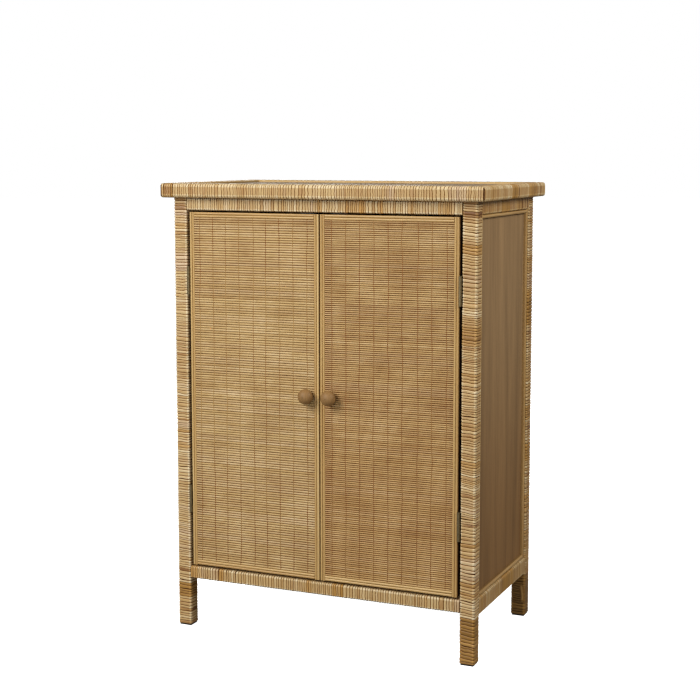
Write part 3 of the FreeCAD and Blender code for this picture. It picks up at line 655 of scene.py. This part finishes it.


# ---------------------------------------------------------------- tables


# The legs' peel is browner and darker: partly browner peel, partly painted shade low under the cabinet. Tie turns
# lock the winding of the posts at the rails.
LEG_BROWN_AND_SHADE = (0.0, 0.101, -0.15, -0.34)
WINDINGS = {
    "post_front_left": Winding(
        11, 0.71, 0.06, 0.02, 0.96,
        (LEG_BROWN_AND_SHADE, (0.948, 0.970, -0.24, -0.22), (0.939, 0.948, -0.26, 0.0), (0.068, 0.101, -0.05, -0.1),
         (0.0, 0.050, 0.07, 0.16), (0.050, 0.068, 0.16, 0.28), (0.110, 0.135, -0.10, 0.0)),
        ((0.105, 0.60), (0.083, 0.70)), gap=0.45),
    "post_front_right": Winding(
        12, 0.625, -0.05, 0.09, 1.0,
        (LEG_BROWN_AND_SHADE, (0.11, 0.36, 0.03, 0.12), (0.938, 0.947, -0.27, -0.02), (0.962, 0.970, -0.10, -0.20),
         (0.863, 0.880, -0.02, -0.30), (0.831, 0.850, -0.02, -0.30), (0.064, 0.101, -0.09, -0.12),
         (0.0, 0.064, -0.04, -0.1)),
        ((0.196, 0.74), (0.041, 0.62), (0.137, 0.66), (0.312, 0.6), (0.53, 0.65)), gap=0.47, vary=1.1),
    "post_rear_left": Winding(13, 0.68, 0.0, -0.04, 1.0, (LEG_BROWN_AND_SHADE, (0.939, 0.948, -0.25, 0.0))),
    # The rear right leg's extra dark, ochre band is painted shade under the cabinet.
    "post_rear_right": Winding(
        14, 0.52, -0.10, 0.05, 1.0,
        (LEG_BROWN_AND_SHADE, (0.0, 0.101, -0.2, -0.3), (0.939, 0.948, -0.25, 0.0), (0.70, 0.755, -0.14, -0.25),
         (0.76, 0.90, 0.02, 0.22))),
    "rail_front_bottom": Winding(35, 0.69, width=0.94, slits=((-0.25, 0.3), (-0.208, 0.27), (-0.23, 0.25)),
                                 gap=0.26, vary=0.75),
    "rail_front_top": Winding(36, 0.76, 0.02, width=0.93, slits=((-0.262, 0.28), (-0.247, 0.3), (0.02, 0.25)),
                              gap=0.3, vary=0.85),
    "rail_rear_bottom": Winding(37, 0.66),
    "rail_rear_top": Winding(38, 0.66),
    "rail_left_bottom": Winding(39, 0.64, -0.05),
    "rail_left_top": Winding(40, 0.64, -0.05),
    "rail_right_bottom": Winding(41, 0.54, -0.15),
    # The right top rail is darker than the bottom one: painted shade under the table top's overhang.
    "rail_right_top": Winding(42, 0.47, -0.17),
    "top_front": Winding(51, 0.63, 0.05, width=0.95, slits=((-0.342, 0.3), (-0.365, 0.3)), deep=0.66, gap=0.16,
                         vary=0.65, bands=((-0.368, -0.342, -0.22, -0.15), (-0.302, -0.295, -0.16, 0.0))),
    "top_right": Winding(52, 0.54, -0.08, bands=((-0.02, 0.03, -0.03, -0.2), (0.09, 0.15, -0.05, -0.25)), deep=0.92,
                         gap=0.3, vary=1.25),
    "top_rear": Winding(53, 0.64, deep=0.6, gap=0.14),
    "top_left": Winding(54, 0.62, -0.05, deep=0.6, gap=0.14),
}
# Each mat: its sticks' pitch as a share of the mean, their tone, the threads' first place and their width as a
# share of the mean. The left mat is woven of coarser sticks than the right one.
MATS = {"left": (1.13, 0.62, 30 * MM, 1.05), "right": (0.965, 0.575, 28 * MM, 1.2)}
# Each material: what makes it and the values it's made from, if any.
FINISHES = {
    "peel": (peel_finish,),
    "stick": (stick_finish,),
    "thread": (thread_finish,),
    "bead": (bead_finish,),
    "knob": (knob_finish,),
    "brass": (brass_finish,),
    "steel": (plain_finish, "Zinc plated steel", "steel", 0.36, 0.9, 400.0),
    "plastic": (plain_finish, "Moulded plastic", "plastic", 0.5, 0.0, 900.0),
    "upright": (veneer_finish, "Veneer upright", "panel", (25, 25, 1.3), 1.4, 0.25, "panel_low"),
    "level": (veneer_finish, "Veneer level", "panel", (1.6, 38, 38), 1.3),
    "top": (veneer_finish, "Top veneer", "top", (2.0, 75, 75), 0.9, 0.1),
    "core": (core_finish,),
    "plain": (veneer_finish, "Plain wood", "bearer", (70, 70, 4.0), 1.0),
    "frame": (frame_finish,),
}
# Each softbox: its size, its place and what it points at.
LIGHTS = {
    "key": ((1.1, 1.4), (-1.05, -2.3, 2.1), (0.0, 0.0, 0.75)),
    "front": ((2.2, 1.6), (0.3, -3.5, 0.9), (0.0, 0.0, 0.6)),
    "rear": ((2.2, 1.6), (-1.9, 2.6, 1.0), (0.0, 0.0, 0.6)),
    "side": ((0.9, 0.9), (2.1, -0.4, 1.95), (0.35, 0.0, 0.8)),
}
LAMP_TINT = (1.0, 0.985, 0.955)
CAMERA = {"lens": 74.9, "sensor_width": 36, "shift_x": -0.0038, "shift_y": -0.07, "clip_end": 100}
CAMERA_PLACE = (1.2893, -2.9965, 1.0716)
CAMERA_TURN = (math.radians(90 - 5.905), 0, math.radians(23.406))


# ---------------------------------------------------------------- operators


class Builder:
    """What all the cabinet's operators share."""

    bl_options = {"REGISTER", "UNDO"}
    made = {}

    @property
    def sizes(self):
        return bpy.context.scene.cabinet_sizes

    def finish(self, key, *values):
        """Each material is made once and shared."""
        if key not in self.made:
            maker, *fixed = FINISHES[key]
            self.made[key] = maker(bpy.context.scene.cabinet_colours, *fixed, *values)
        return self.made[key]

    def execute(self, context):
        self.build()
        return {"FINISHED"}


class Winder(Builder):
    """What the operators that wind one kind of member share."""

    arc_steps = 1

    @property
    def edge_round(self):
        return self.sizes.post_round

    def build(self):
        """Winds strips round the sleeve of each member; its own axes become the cabinet's by cyclic exchange."""
        for member, winding in WINDINGS.items():
            kind, place = member.split("_", 1)
            if kind != self.kind:
                continue
            k = Z if kind == "post" else X if place.startswith(("front", "rear")) else Y
            node = f"{kind}_wrap_{place}"
            low, high = corners(node)
            centre = (low + high) / 2
            centre[k] = 0
            generator = np.random.default_rng(winding.seed)
            points, normals, along, middle, bend = wound_strips(
                np.roll((high - low) / 2, -k - 1)[:2], self.edge_round, self.arc_steps, low[k], high[k] - low[k],
                self.sizes, generator, winding)
            points = np.roll(points, k + 1, -1) + centre
            self.shape(points, low, high, k, place)
            piece = solid_bundle(f"peel_{member}", points, np.roll(normals, k + 1, -1), along, FLAT_STRIP,
                                 winding.tints(generator, middle, self.sizes.tone_spread), True, bend)
            settle(piece, self.finish("peel"), "cabinet", "rattan_peel", node)

    def shape(self, points, low, high, k, place):
        """Posts and rails keep their shape."""


class CABINET_OT_wind_posts(Winder, bpy.types.Operator):
    """Winds the four posts with peel from the glides to the table top"""

    bl_idname = "cabinet.wind_posts"
    bl_label = "Wind posts"
    kind = "post"

    def build(self):
        super().build()
        self.tuck_strand()

    def tuck_strand(self):
        """A short upright strand that runs over the turns of the rear right leg and dives under them at both ends:
        its height over the winding is a sine of the way along it to the power of one quarter."""
        low, high = corners("post_wrap_rear_right")
        foot, tall, inset = 33 * MM, 42 * MM, 7 * MM
        way = np.linspace(0, 1, 13)
        rise = np.sin(np.pi * way.clip(0.002, 0.998)) ** 0.25 * 2.2 * MM - 1.4 * MM
        section = np.array([[-3.2, 1.2], [-1.9, 0.0], [1.9, 0.0], [3.2, 1.2]]) * MM
        points = np.empty((1, len(way), 4, 3))
        points[..., X] = high[X] - inset + 1.2 * MM * np.sin(5 * way)[:, None] + section[:, 0]
        points[..., Y] = low[Y] - rise[:, None] + section[:, 1]
        points[..., Z] = (foot + way * tall)[:, None]
        normals = np.broadcast_to([[-0.75, -0.66, 0], [-0.3, -0.95, 0], [0.3, -0.95, 0], [0.75, -0.66, 0]],
                                  points.shape)
        piece = solid_bundle("tucked_strand", points, normals, (way * tall)[:, None], FLAT_STRIP, (0.5, 0.25, 0.3))
        settle(piece, self.finish("peel"), "cabinet", "rattan_peel")


class CABINET_OT_wind_rails(Winder, bpy.types.Operator):
    """Winds the four bottom and four top rails"""

    bl_idname = "cabinet.wind_rails"
    bl_label = "Wind rails"
    kind = "rail"


class CABINET_OT_wind_top(Winder, bpy.types.Operator):
    """Winds the table top's four members and mitres the strips at the corners"""

    bl_idname = "cabinet.wind_top"
    bl_label = "Wind table top"
    kind = "top"
    arc_steps = 2

    @property
    def edge_round(self):
        return self.sizes.top_round

    def shape(self, points, low, high, k, place):
        """Cuts a wound member to the mitre.

        A point's distance from the member's end bounds its depth from the outer face, which cuts it along the
        mitre. The lesser of that distance and the depth also bounds its height: near an outer edge it lies on a
        quarter circle that falls away from the top and bottom, so that the table top's corners are round too.
        """
        radius, slit = self.edge_round, self.sizes.mitre_gap / 2
        way = 1 if place in ("right", "rear") else -1
        across = 1 - k
        outer = high[across] if way > 0 else low[across]
        end = np.maximum(high[k] - np.abs(points[..., k]), (1 - math.sqrt(0.5)) * radius + slit)
        depth = (outer - points[..., across]) * way
        depth = depth.clip(self.fall(end - slit) + depth.clip(None, 0), end - slit)
        points[..., across] = outer - depth * way
        points[..., k] = np.sign(points[..., k]) * (high[k] - end)
        middle = (low[Z] + high[Z]) / 2
        half = (high[Z] - low[Z]) / 2 - self.fall(np.minimum(depth, end - slit))
        rise = points[..., Z] - middle
        points[..., Z] = middle + np.sign(rise) * np.minimum(abs(rise), half + 0.2 * MM)

    def fall(self, inward):
        """How far a quarter circle of the edge's radius has still to rise at a distance inward from its foot."""
        turn = self.edge_round - inward.clip(0, self.edge_round)
        return self.edge_round - np.sqrt(self.edge_round ** 2 - turn ** 2)


def half_round(steps, shoulder):
    """Half an ellipse on two upright flanks that are a share of its height: how far each point stands to the side
    and rises, and how far it faces up, each from 0 to 1."""
    turn = np.linspace(0, math.pi, steps)
    side = np.concatenate([[1], np.cos(turn), [-1]])
    facing = np.concatenate([[0], np.sin(turn), [0]])
    rise = shoulder + (1 - shoulder) * facing
    rise[[0, -1]] = 0
    return side, rise, facing


class CABINET_OT_weave_mats(Builder, bpy.types.Operator):
    """Lays the split sticks of both door mats and binds them with upright threads"""

    bl_idname = "cabinet.weave_mats"
    bl_label = "Weave door mats"
    shoulder = 0.42

    def build(self):
        for seed, (side_name, side) in enumerate(SIDES):
            generator = np.random.default_rng(71 + seed)
            low, high = corners(f"door_mat_{side_name}")
            coarse, tone, first, thick = MATS[side_name]
            count = round((high[Z] - low[Z]) / (self.sizes.stick_pitch * coarse))
            self.lay_sticks(side_name, low, high, count, tone, generator)
            self.bind_threads(side_name, side, low, high, count, first, thick * self.sizes.thread_width, generator)

    def lay_sticks(self, side_name, low, high, count, tone, generator):
        """Round sticks side by side: the section is half an ellipse in five points on two upright flanks, swept
        along a slightly wavy line."""
        sizes = self.sizes
        pitch = (high[Z] - low[Z]) / count
        stations, over = 12, 0.6 * MM
        x = np.linspace(low[X] - over, high[X] + over, stations)
        side_way, rise, facing = half_round(5, self.shoulder)
        level = low[Z] + (np.arange(count) + 0.5) * pitch
        wave = generator.normal(0, 0.06 * MM, (count, stations)) + generator.normal(0, 0.09 * MM, (count, 1))
        tall = sizes.stick_height * generator.uniform(0.9, 1.04, (count, 1))
        half = pitch * 0.5 * generator.uniform(0.975, 1.01, (count, 1))
        half = half * generator.uniform(0.985, 1.01, (count, stations))
        points = np.empty((count, stations, 7, 3))
        points[..., X] = x[:, None]
        points[..., Y] = high[Y] - tall[..., None] * rise
        points[..., Z] = (level[:, None] + wave)[..., None] + half[..., None] * side_way
        normals = np.broadcast_to(np.stack([np.zeros(7), -facing, side_way], 1), points.shape)
        tones = tone + generator.normal(0, 0.06, count)
        tones = tones + slow_noise(generator, count, 12, 0.02)[:, 0]
        # The top three sticks are darker: painted shadow under the door's top bead.
        tones[-3:] -= 0.12
        tint = np.stack([tones.clip(0, 1), generator.uniform(0, 1, count) ** 2, generator.random(count)], 1)
        piece = solid_bundle(f"mat_sticks_{side_name}", points, normals, (x - low[X])[:, None],
                             (0, 0.04, 0.27, 0.5, 0.73, 0.96, 1, 0), tint)
        settle(piece, self.finish("stick", high[X] - low[X]), f"{side_name}_door", "stick_mat",
               f"door_mat_{side_name}")

    def bind_threads(self, side_name, side, low, high, count, first, width, generator):
        """Threads that hug the sticks' half ellipses and show in each groove, where they are widest."""
        sizes = self.sizes
        near, far = (low[X], high[X]) if side > 0 else (-high[X], -low[X])
        margin = 2 * MM
        number = int((far - first) / sizes.thread_pitch) + 1
        lines = first + np.arange(number) * sizes.thread_pitch + generator.normal(0, 0.9 * MM, number)
        lines = side * np.clip(lines, near + margin, far - margin)
        row = np.linspace(0, count, count * 6 + 1)
        sway = generator.normal(0, 0.7 * MM, (number, count // 9 + 2))
        sway = np.stack([np.interp(row, np.linspace(0, count, sway.shape[1]), line) for line in sway])
        groove = np.cos(row * 2 * math.pi)
        from_crest = 1 - 2 * (row % 1)
        hug = self.shoulder + (1 - self.shoulder) * np.sqrt(1 - from_crest ** 2) + 0.035 * groove
        section = np.array([[-0.5, 0.35], [-0.36, -0.2], [0.36, -0.2], [0.5, 0.35]]) * width
        points = np.empty((number, len(row), 4, 3))
        points[..., X] = (lines[:, None] + sway)[..., None] + section[:, 0] * (1.25 + 0.6 * groove)[:, None]
        points[..., Y] = (high[Y] - sizes.stick_height * np.maximum(hug, 0.66))[:, None] + section[:, 1] * 0.5
        points[..., Z] = np.clip(low[Z] + row / count * (high[Z] - low[Z]), low[Z], high[Z])[:, None]
        normals = np.broadcast_to([[-0.8, -0.6, 0], [-0.35, -0.94, 0], [0.35, -0.94, 0], [0.8, -0.6, 0]],
                                  points.shape)
        piece = solid_bundle(f"mat_threads_{side_name}", points, normals, row[:, None], (0, 0.33, 0.67, 1, 0),
                             generator.random((number, 3)))
        settle(piece, self.finish("thread"), f"{side_name}_door", "stick_mat")


def rectangle(low, high, whole, cut, inset, edge):
    """Four runs round a rectangle, each as (axis, from, to, place on the other axis): two of its whole length along
    one axis, and between them two along the other, an edge shorter at each end."""
    runs = [(whole, low[whole], high[whole], place) for place in (low[cut] + inset, high[cut] - inset)]
    return runs + [(cut, low[cut] + edge, high[cut] - edge, place)
                   for place in (low[whole] + inset, high[whole] - inset)]


class CABINET_OT_lay_beads(Builder, bpy.types.Operator):
    """Lays the cane half-rounds round the doors, the side panels and the sunk top panel"""

    bl_idname = "cabinet.lay_beads"
    bl_label = "Lay beads"

    def build(self):
        """A ring of cane is four runs. Each door has two rings, a little wider where the doors meet. The side
        panels' cane is slimmer than its node and stands prouder."""
        wide = DOOR_CANE
        for seed, (side_name, side) in enumerate(SIDES):
            node = f"door_beads_{side_name}"
            low, high = corners(node)
            (low if side > 0 else high)[X] -= side * MEETING_EXTRA
            runs = [run for ring in (0.5, 1.5) for run in rectangle(low, high, Z, X, ring * wide, 2 * wide)]
            self.lay(f"door_cane_{side_name}", runs, Y, high[Y], low[Y], wide, 91 + seed, f"{side_name}_door", node,
                     0.60)
            node = f"side_beads_{side_name}"
            low, high = corners(node)
            foot, crest = (low[X], high[X] + SIDE_PROUD) if side > 0 else (high[X], low[X] - SIDE_PROUD)
            runs = rectangle(low, high, Z, Y, SIDE_CANE - SIDE_SLIM / 2, SIDE_CANE)
            self.lay(f"side_cane_{side_name}", runs, X, foot, crest, SIDE_SLIM, 95 + seed, "cabinet", node, 0.42)
        low, high = corners("top_beads")
        runs = rectangle(low, high, X, Y, TOP_CANE / 2, TOP_CANE)
        self.lay("top_cane", runs, Z, low[Z], high[Z], TOP_CANE, 99, "cabinet", "top_beads", 0.66)

    def lay(self, name, runs, c, foot, crest, width, seed, body, node, tone):
        """Half-rounds on short straight shoulders, a hair uneven in width and line along their length. They stand
        on a foot and rise to a crest along axis c."""
        generator = np.random.default_rng(seed)
        stations = 28
        height = crest - foot
        side_way, up_way, facing = half_round(9, 1 - min(1.0, width / 2 / abs(height)))
        points = np.zeros((len(runs), stations, 11, 3))
        normals = np.zeros_like(points)
        along = np.zeros((len(runs), stations, 1))
        for number, (k, start, stop, place) in enumerate(runs):
            s = 3 - k - c
            line = np.linspace(start, stop, stations)
            wander = np.interp(line, np.linspace(start, stop, 7), generator.normal(0, 0.12 * MM, 7))
            fat = 1 + np.interp(line, np.linspace(start, stop, 9), generator.normal(0, 0.018, 9))
            points[number, ..., k] = line[:, None]
            points[number, ..., s] = (place + wander)[:, None] + side_way * (width / 2 * fat)[:, None]
            points[number, ..., c] = foot + up_way * (height * np.minimum(fat, 1.02))[:, None]
            normals[number, ..., s] = side_way
            normals[number, ..., c] = facing * np.sign(height)
            along[number, :, 0] = line - start
        across = np.linspace(0, 1, 12)
        across[-1] = 0
        tint = np.stack([generator.normal(tone, 0.06, len(runs)), generator.random(len(runs)),
                         generator.random(len(runs))], 1)
        piece = solid_bundle(name, points, normals, along, across, tint)
        settle(piece, self.finish("bead"), body, "cane_bead", node)


def revolve(profile, centre, way, around):
    """A profile of (radius, distance) pairs turned about an axis that points one way from a centre: a grid of
    points and the normals that stand square to the profile."""
    radius, reach = np.array(profile).T
    way = np.array(way, float)
    side = np.cross(way, [0.0, 0.0, 1.0])
    up = np.cross(side, way)
    turn = np.linspace(0, 2 * math.pi, around, endpoint=False)
    spoke = np.cos(turn)[:, None] * side + np.sin(turn)[:, None] * up
    points = np.array(centre) + radius[:, None, None] * spoke + reach[:, None, None] * way
    slope_r, slope_z = np.gradient(radius), np.gradient(reach)
    size = np.hypot(slope_r, slope_z) + 1e-12
    return points, (slope_z / size)[:, None, None] * spoke - (slope_r / size)[:, None, None] * way


class CABINET_OT_turn_knobs(Builder, bpy.types.Operator):
    """Turns the two ball knobs"""

    bl_idname = "cabinet.turn_knobs"
    bl_label = "Turn knobs"

    def build(self):
        """A ball on a short neck: its profile is a circle, stretched along to the knob's depth."""
        knobs = [(side_name, *corners(f"knob_{side_name}")) for side_name, _ in SIDES]
        centres = [((low[X] + high[X]) / 2, (low[Z] + high[Z]) / 2) for _, low, high in knobs]
        neck, neck_length = self.sizes.knob_neck, 2.6 * MM
        for (side_name, low, high), (x, z) in zip(knobs, centres):
            radius = 0.97 * (high[X] - low[X]) / 2
            ball = high[Y] - low[Y] - neck_length
            start = math.asin(neck / radius)
            turn = np.linspace(start, math.pi - 0.02, 30)
            reach = (np.cos(start) - np.cos(turn)) / (1 + np.cos(start)) * ball + neck_length
            profile = [(neck, 0.0), (neck * 0.97, neck_length * 0.6), *zip(radius * np.sin(turn), reach)]
            points, normals = revolve(profile, (x, high[Y], z), (0, -1, 0), 48)
            piece = solid_bundle(f"turned_knob_{side_name}", points[None], normals[None])
            settle(piece, self.finish("knob", centres), f"{side_name}_door", "knob_wood", f"knob_{side_name}")


# A countersunk head as shares of its radius: a shallow dome with a round recess for the driver.
SCREW_HEAD = np.array([(1, 0), (1, 0.12), (0.9, 0.2), (0.6, 0.26), (0.34, 0.28), (0.3, 0.05), (0.05, 0)])


class CABINET_OT_fit_hardware(Builder, bpy.types.Operator):
    """Fits the screws of the hinges and strike plates, and finishes the brass and the catches"""

    bl_idname = "cabinet.fit_hardware"
    bl_label = "Fit hardware"

    def build(self):
        dress(self.finish("brass"), "hinge_post_leaves", "hinge_pins", "hinge_door_leaves_left",
              "hinge_door_leaves_right")
        dress(self.finish("plastic"), "magnetic_catches", "glides")
        for side_name, side in SIDES:
            plate = f"strike_plate_{side_name}"
            dress(self.finish("steel"), plate)
            self.hinge_screws(side_name, side)
            low, high = corners(plate)
            middle = ((low[X] + high[X]) / 2, high[Y], (low[Z] + high[Z]) / 2)
            self.screws(f"strike_screw_{side_name}", [middle], (0, 1, 0), f"{side_name}_door", "steel", "steel",
                        STRIKE_SCREW)
        self.catch_poles()

    def screws(self, name, centres, way, body, slot, finish, radius):
        """Heads of one size that all face one way, as one piece."""
        grids = [revolve(SCREW_HEAD * radius, centre, way, 20) for centre in centres]
        piece = solid_bundle(name, *(np.stack(part) for part in zip(*grids)))
        settle(piece, self.finish(finish), body, slot)

    def hinge_screws(self, side_name, side):
        """Three heads on each leaf, on the face that looks into the hinge gap."""
        low, high = corners(f"hinge_door_leaves_{side_name}")
        post_low, post_high = corners("hinge_post_leaves")
        door_face = (low[X] if side > 0 else high[X]) + side * LEAF_THICK
        post_face = (post_high[X] - LEAF_THICK) if side > 0 else (post_low[X] + LEAF_THICK)
        inset = 7 * MM
        places = [(high[Y] - inset + shift, foot + up * HINGE_TALL) for foot in (low[Z], high[Z] - HINGE_TALL)
                  for up, shift in LEAF_SCREWS]
        for leaf, face, way, body in (("door", door_face, side, f"{side_name}_door"),
                                      ("post", post_face, -side, "cabinet")):
            self.screws(f"leaf_screws_{leaf}_{side_name}", [(face, *place) for place in places], (way, 0, 0), body,
                        "antique_brass", "brass", self.sizes.screw)

    def catch_poles(self):
        """Two steel pole strips on the front of each catch, as flat bars with rounded edges."""
        low, high = corners("magnetic_catches")
        inner = 17 * MM
        centre = np.array([(side * (high[X] + inner) / 2, low[Y], low[Z] + level * (high[Z] - low[Z]))
                           for side in (-1, 1) for level in (0.3, 0.7)])[:, None, None]
        section = np.array([[-1.1, 0], [-0.9, -0.22], [0.9, -0.22], [1.1, 0]]) * MM
        points = np.empty((len(centre), 5, 4, 3))
        points[..., X] = centre[..., X] + (np.linspace(-15, 15, 5) * MM)[:, None]
        points[..., Y] = centre[..., Y] + section[:, 1]
        points[..., Z] = centre[..., Z] + section[:, 0]
        piece = solid_bundle("catch_poles", points, np.broadcast_to([0.0, -1.0, 0.0], points.shape))
        settle(piece, self.finish("steel"), "cabinet", "steel")


class CABINET_OT_finish_panels(Builder, bpy.types.Operator):
    """Finishes the veneered panels and the wood of the frames"""

    bl_idname = "cabinet.finish_panels"
    bl_label = "Finish panels"

    def build(self):
        dress(self.finish("upright"), "side_panel_left", "side_panel_right", "back_panel", "door_panel_left",
              "door_panel_right")
        dress(self.finish("level"), "floor_panel", "shelf")
        dress(self.finish("top"), "top_panel")
        dress(self.finish("core"), *(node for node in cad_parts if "wrap" not in node
                                     and node.startswith(("post_", "rail_", "top_frame"))))
        dress(self.finish("plain"), "shelf_bearers")
        dress(self.finish("frame", corners("door_frame_right")[1][X]), "door_frame_left", "door_frame_right")


class CABINET_OT_set_stage(Builder, bpy.types.Operator):
    """Sets the pale floor, the soft lights and the camera"""

    bl_idname = "cabinet.set_stage"
    bl_label = "Set stage"

    def build(self):
        scene = bpy.context.scene
        scene.view_settings.view_transform = "Standard"
        scene.cycles.filter_width = 1.25
        self.lay_floor(scene.cabinet_colours.floor, scene.cabinet_stage.floor_return)
        self.light_room(scene)
        self.hang_lights(scene.cabinet_stage)
        self.set_camera(scene)

    def lay_floor(self, tint, floor_return):
        """A wide round floor that looks pale and gives back little light, so that the legs keep their shade."""
        radius, sides = 30, 64
        turn = np.linspace(0, 2 * math.pi, sides, endpoint=False)
        rim = np.stack([radius * np.cos(turn), radius * np.sin(turn), np.zeros(sides)], 1)
        mesh = bpy.data.meshes.new("floor")
        mesh.from_pydata(rim.tolist(), [], [tuple(range(sides))])
        f = Finish("Studio floor", specular_ior_level=0.0, emission_strength=0.86)
        seen = f.node("ShaderNodeLightPath")
        pale = f.shades(f.noise(f.here(), scale=3.0), tint, 0.985, 1.0)
        f.surface(f.mix(seen, rgba(tint, floor_return), pale), 0.9)
        f.feed(f.shader.inputs["Emission Color"], f.mix(seen, (0, 0, 0, 1), (1, 1, 1, 1)))
        mesh.materials.append(f.material)
        link("floor", mesh)

    def light_room(self, scene):
        """A white studio that the camera sees at full strength and the cabinet as the fill light."""
        scene.world = bpy.data.worlds.new("Studio")
        scene.world.use_nodes = True
        tree = scene.world.node_tree
        back = tree.nodes["Background"]
        path = tree.nodes.new("ShaderNodeLightPath")
        mix = tree.nodes.new("ShaderNodeMix")
        mix.inputs["A"].default_value = scene.cabinet_stage.fill
        mix.inputs["B"].default_value = 1.0
        tree.links.new(path.outputs["Is Camera Ray"], mix.inputs["Factor"])
        tree.links.new(mix.outputs["Result"], back.inputs["Strength"])
        back.inputs["Color"].default_value = (1, 1, 1, 1)

    def hang_lights(self, stage):
        """A softbox at the upper left of the front, wide low ones in front and behind and a weaker one high on the
        right."""
        for name, (size, place, target) in LIGHTS.items():
            light = bpy.data.lights.new(name, "AREA")
            light.shape = "RECTANGLE"
            light.energy = getattr(stage, f"{name}_power")
            light.size, light.size_y = size
            light.color = LAMP_TINT
            lamp = link(name, light)
            lamp.location = place
            lamp.rotation_euler = (Vector(target) - lamp.location).to_track_quat("-Z", "Y").to_euler()

    def set_camera(self, scene):
        """A long lens at the right of the front, a little above the table top and tilted down."""
        data = bpy.data.cameras.new("camera")
        for key, value in CAMERA.items():
            setattr(data, key, value)
        scene.camera = link("camera", data)
        scene.camera.location = CAMERA_PLACE
        scene.camera.rotation_euler = CAMERA_TURN


class CABINET_PT_workshop(bpy.types.Panel):
    """Lists the cabinet's building steps"""

    bl_label = "Record cabinet"
    bl_space_type = "VIEW_3D"
    bl_region_type = "UI"
    bl_category = "Cabinet"

    def draw(self, context):
        for step in STEPS:
            self.layout.operator(step.bl_idname)


STEPS = (
    CABINET_OT_wind_posts,
    CABINET_OT_wind_rails,
    CABINET_OT_wind_top,
    CABINET_OT_weave_mats,
    CABINET_OT_lay_beads,
    CABINET_OT_turn_knobs,
    CABINET_OT_fit_hardware,
    CABINET_OT_finish_panels,
    CABINET_OT_set_stage,
)
GROUPS = {"cabinet_sizes": CabinetSizes, "cabinet_colours": CabinetColours, "cabinet_stage": StageSettings}
CLASSES = (*GROUPS.values(), *STEPS, CABINET_PT_workshop)


def register():
    for cls in CLASSES:
        bpy.utils.register_class(cls)
    for name, group in GROUPS.items():
        setattr(bpy.types.Scene, name, bpy.props.PointerProperty(type=group))


def unregister():
    for name in GROUPS:
        delattr(bpy.types.Scene, name)
    for cls in reversed(CLASSES):
        bpy.utils.unregister_class(cls)


def main():
    register()
    for step in STEPS:
        operator = getattr(bpy.ops.cabinet, step.bl_idname.split(".")[1])
        if operator() != {"FINISHED"}:
            raise RuntimeError(f"{step.bl_label} did not finish")


if __name__ == "__main__":
    main()
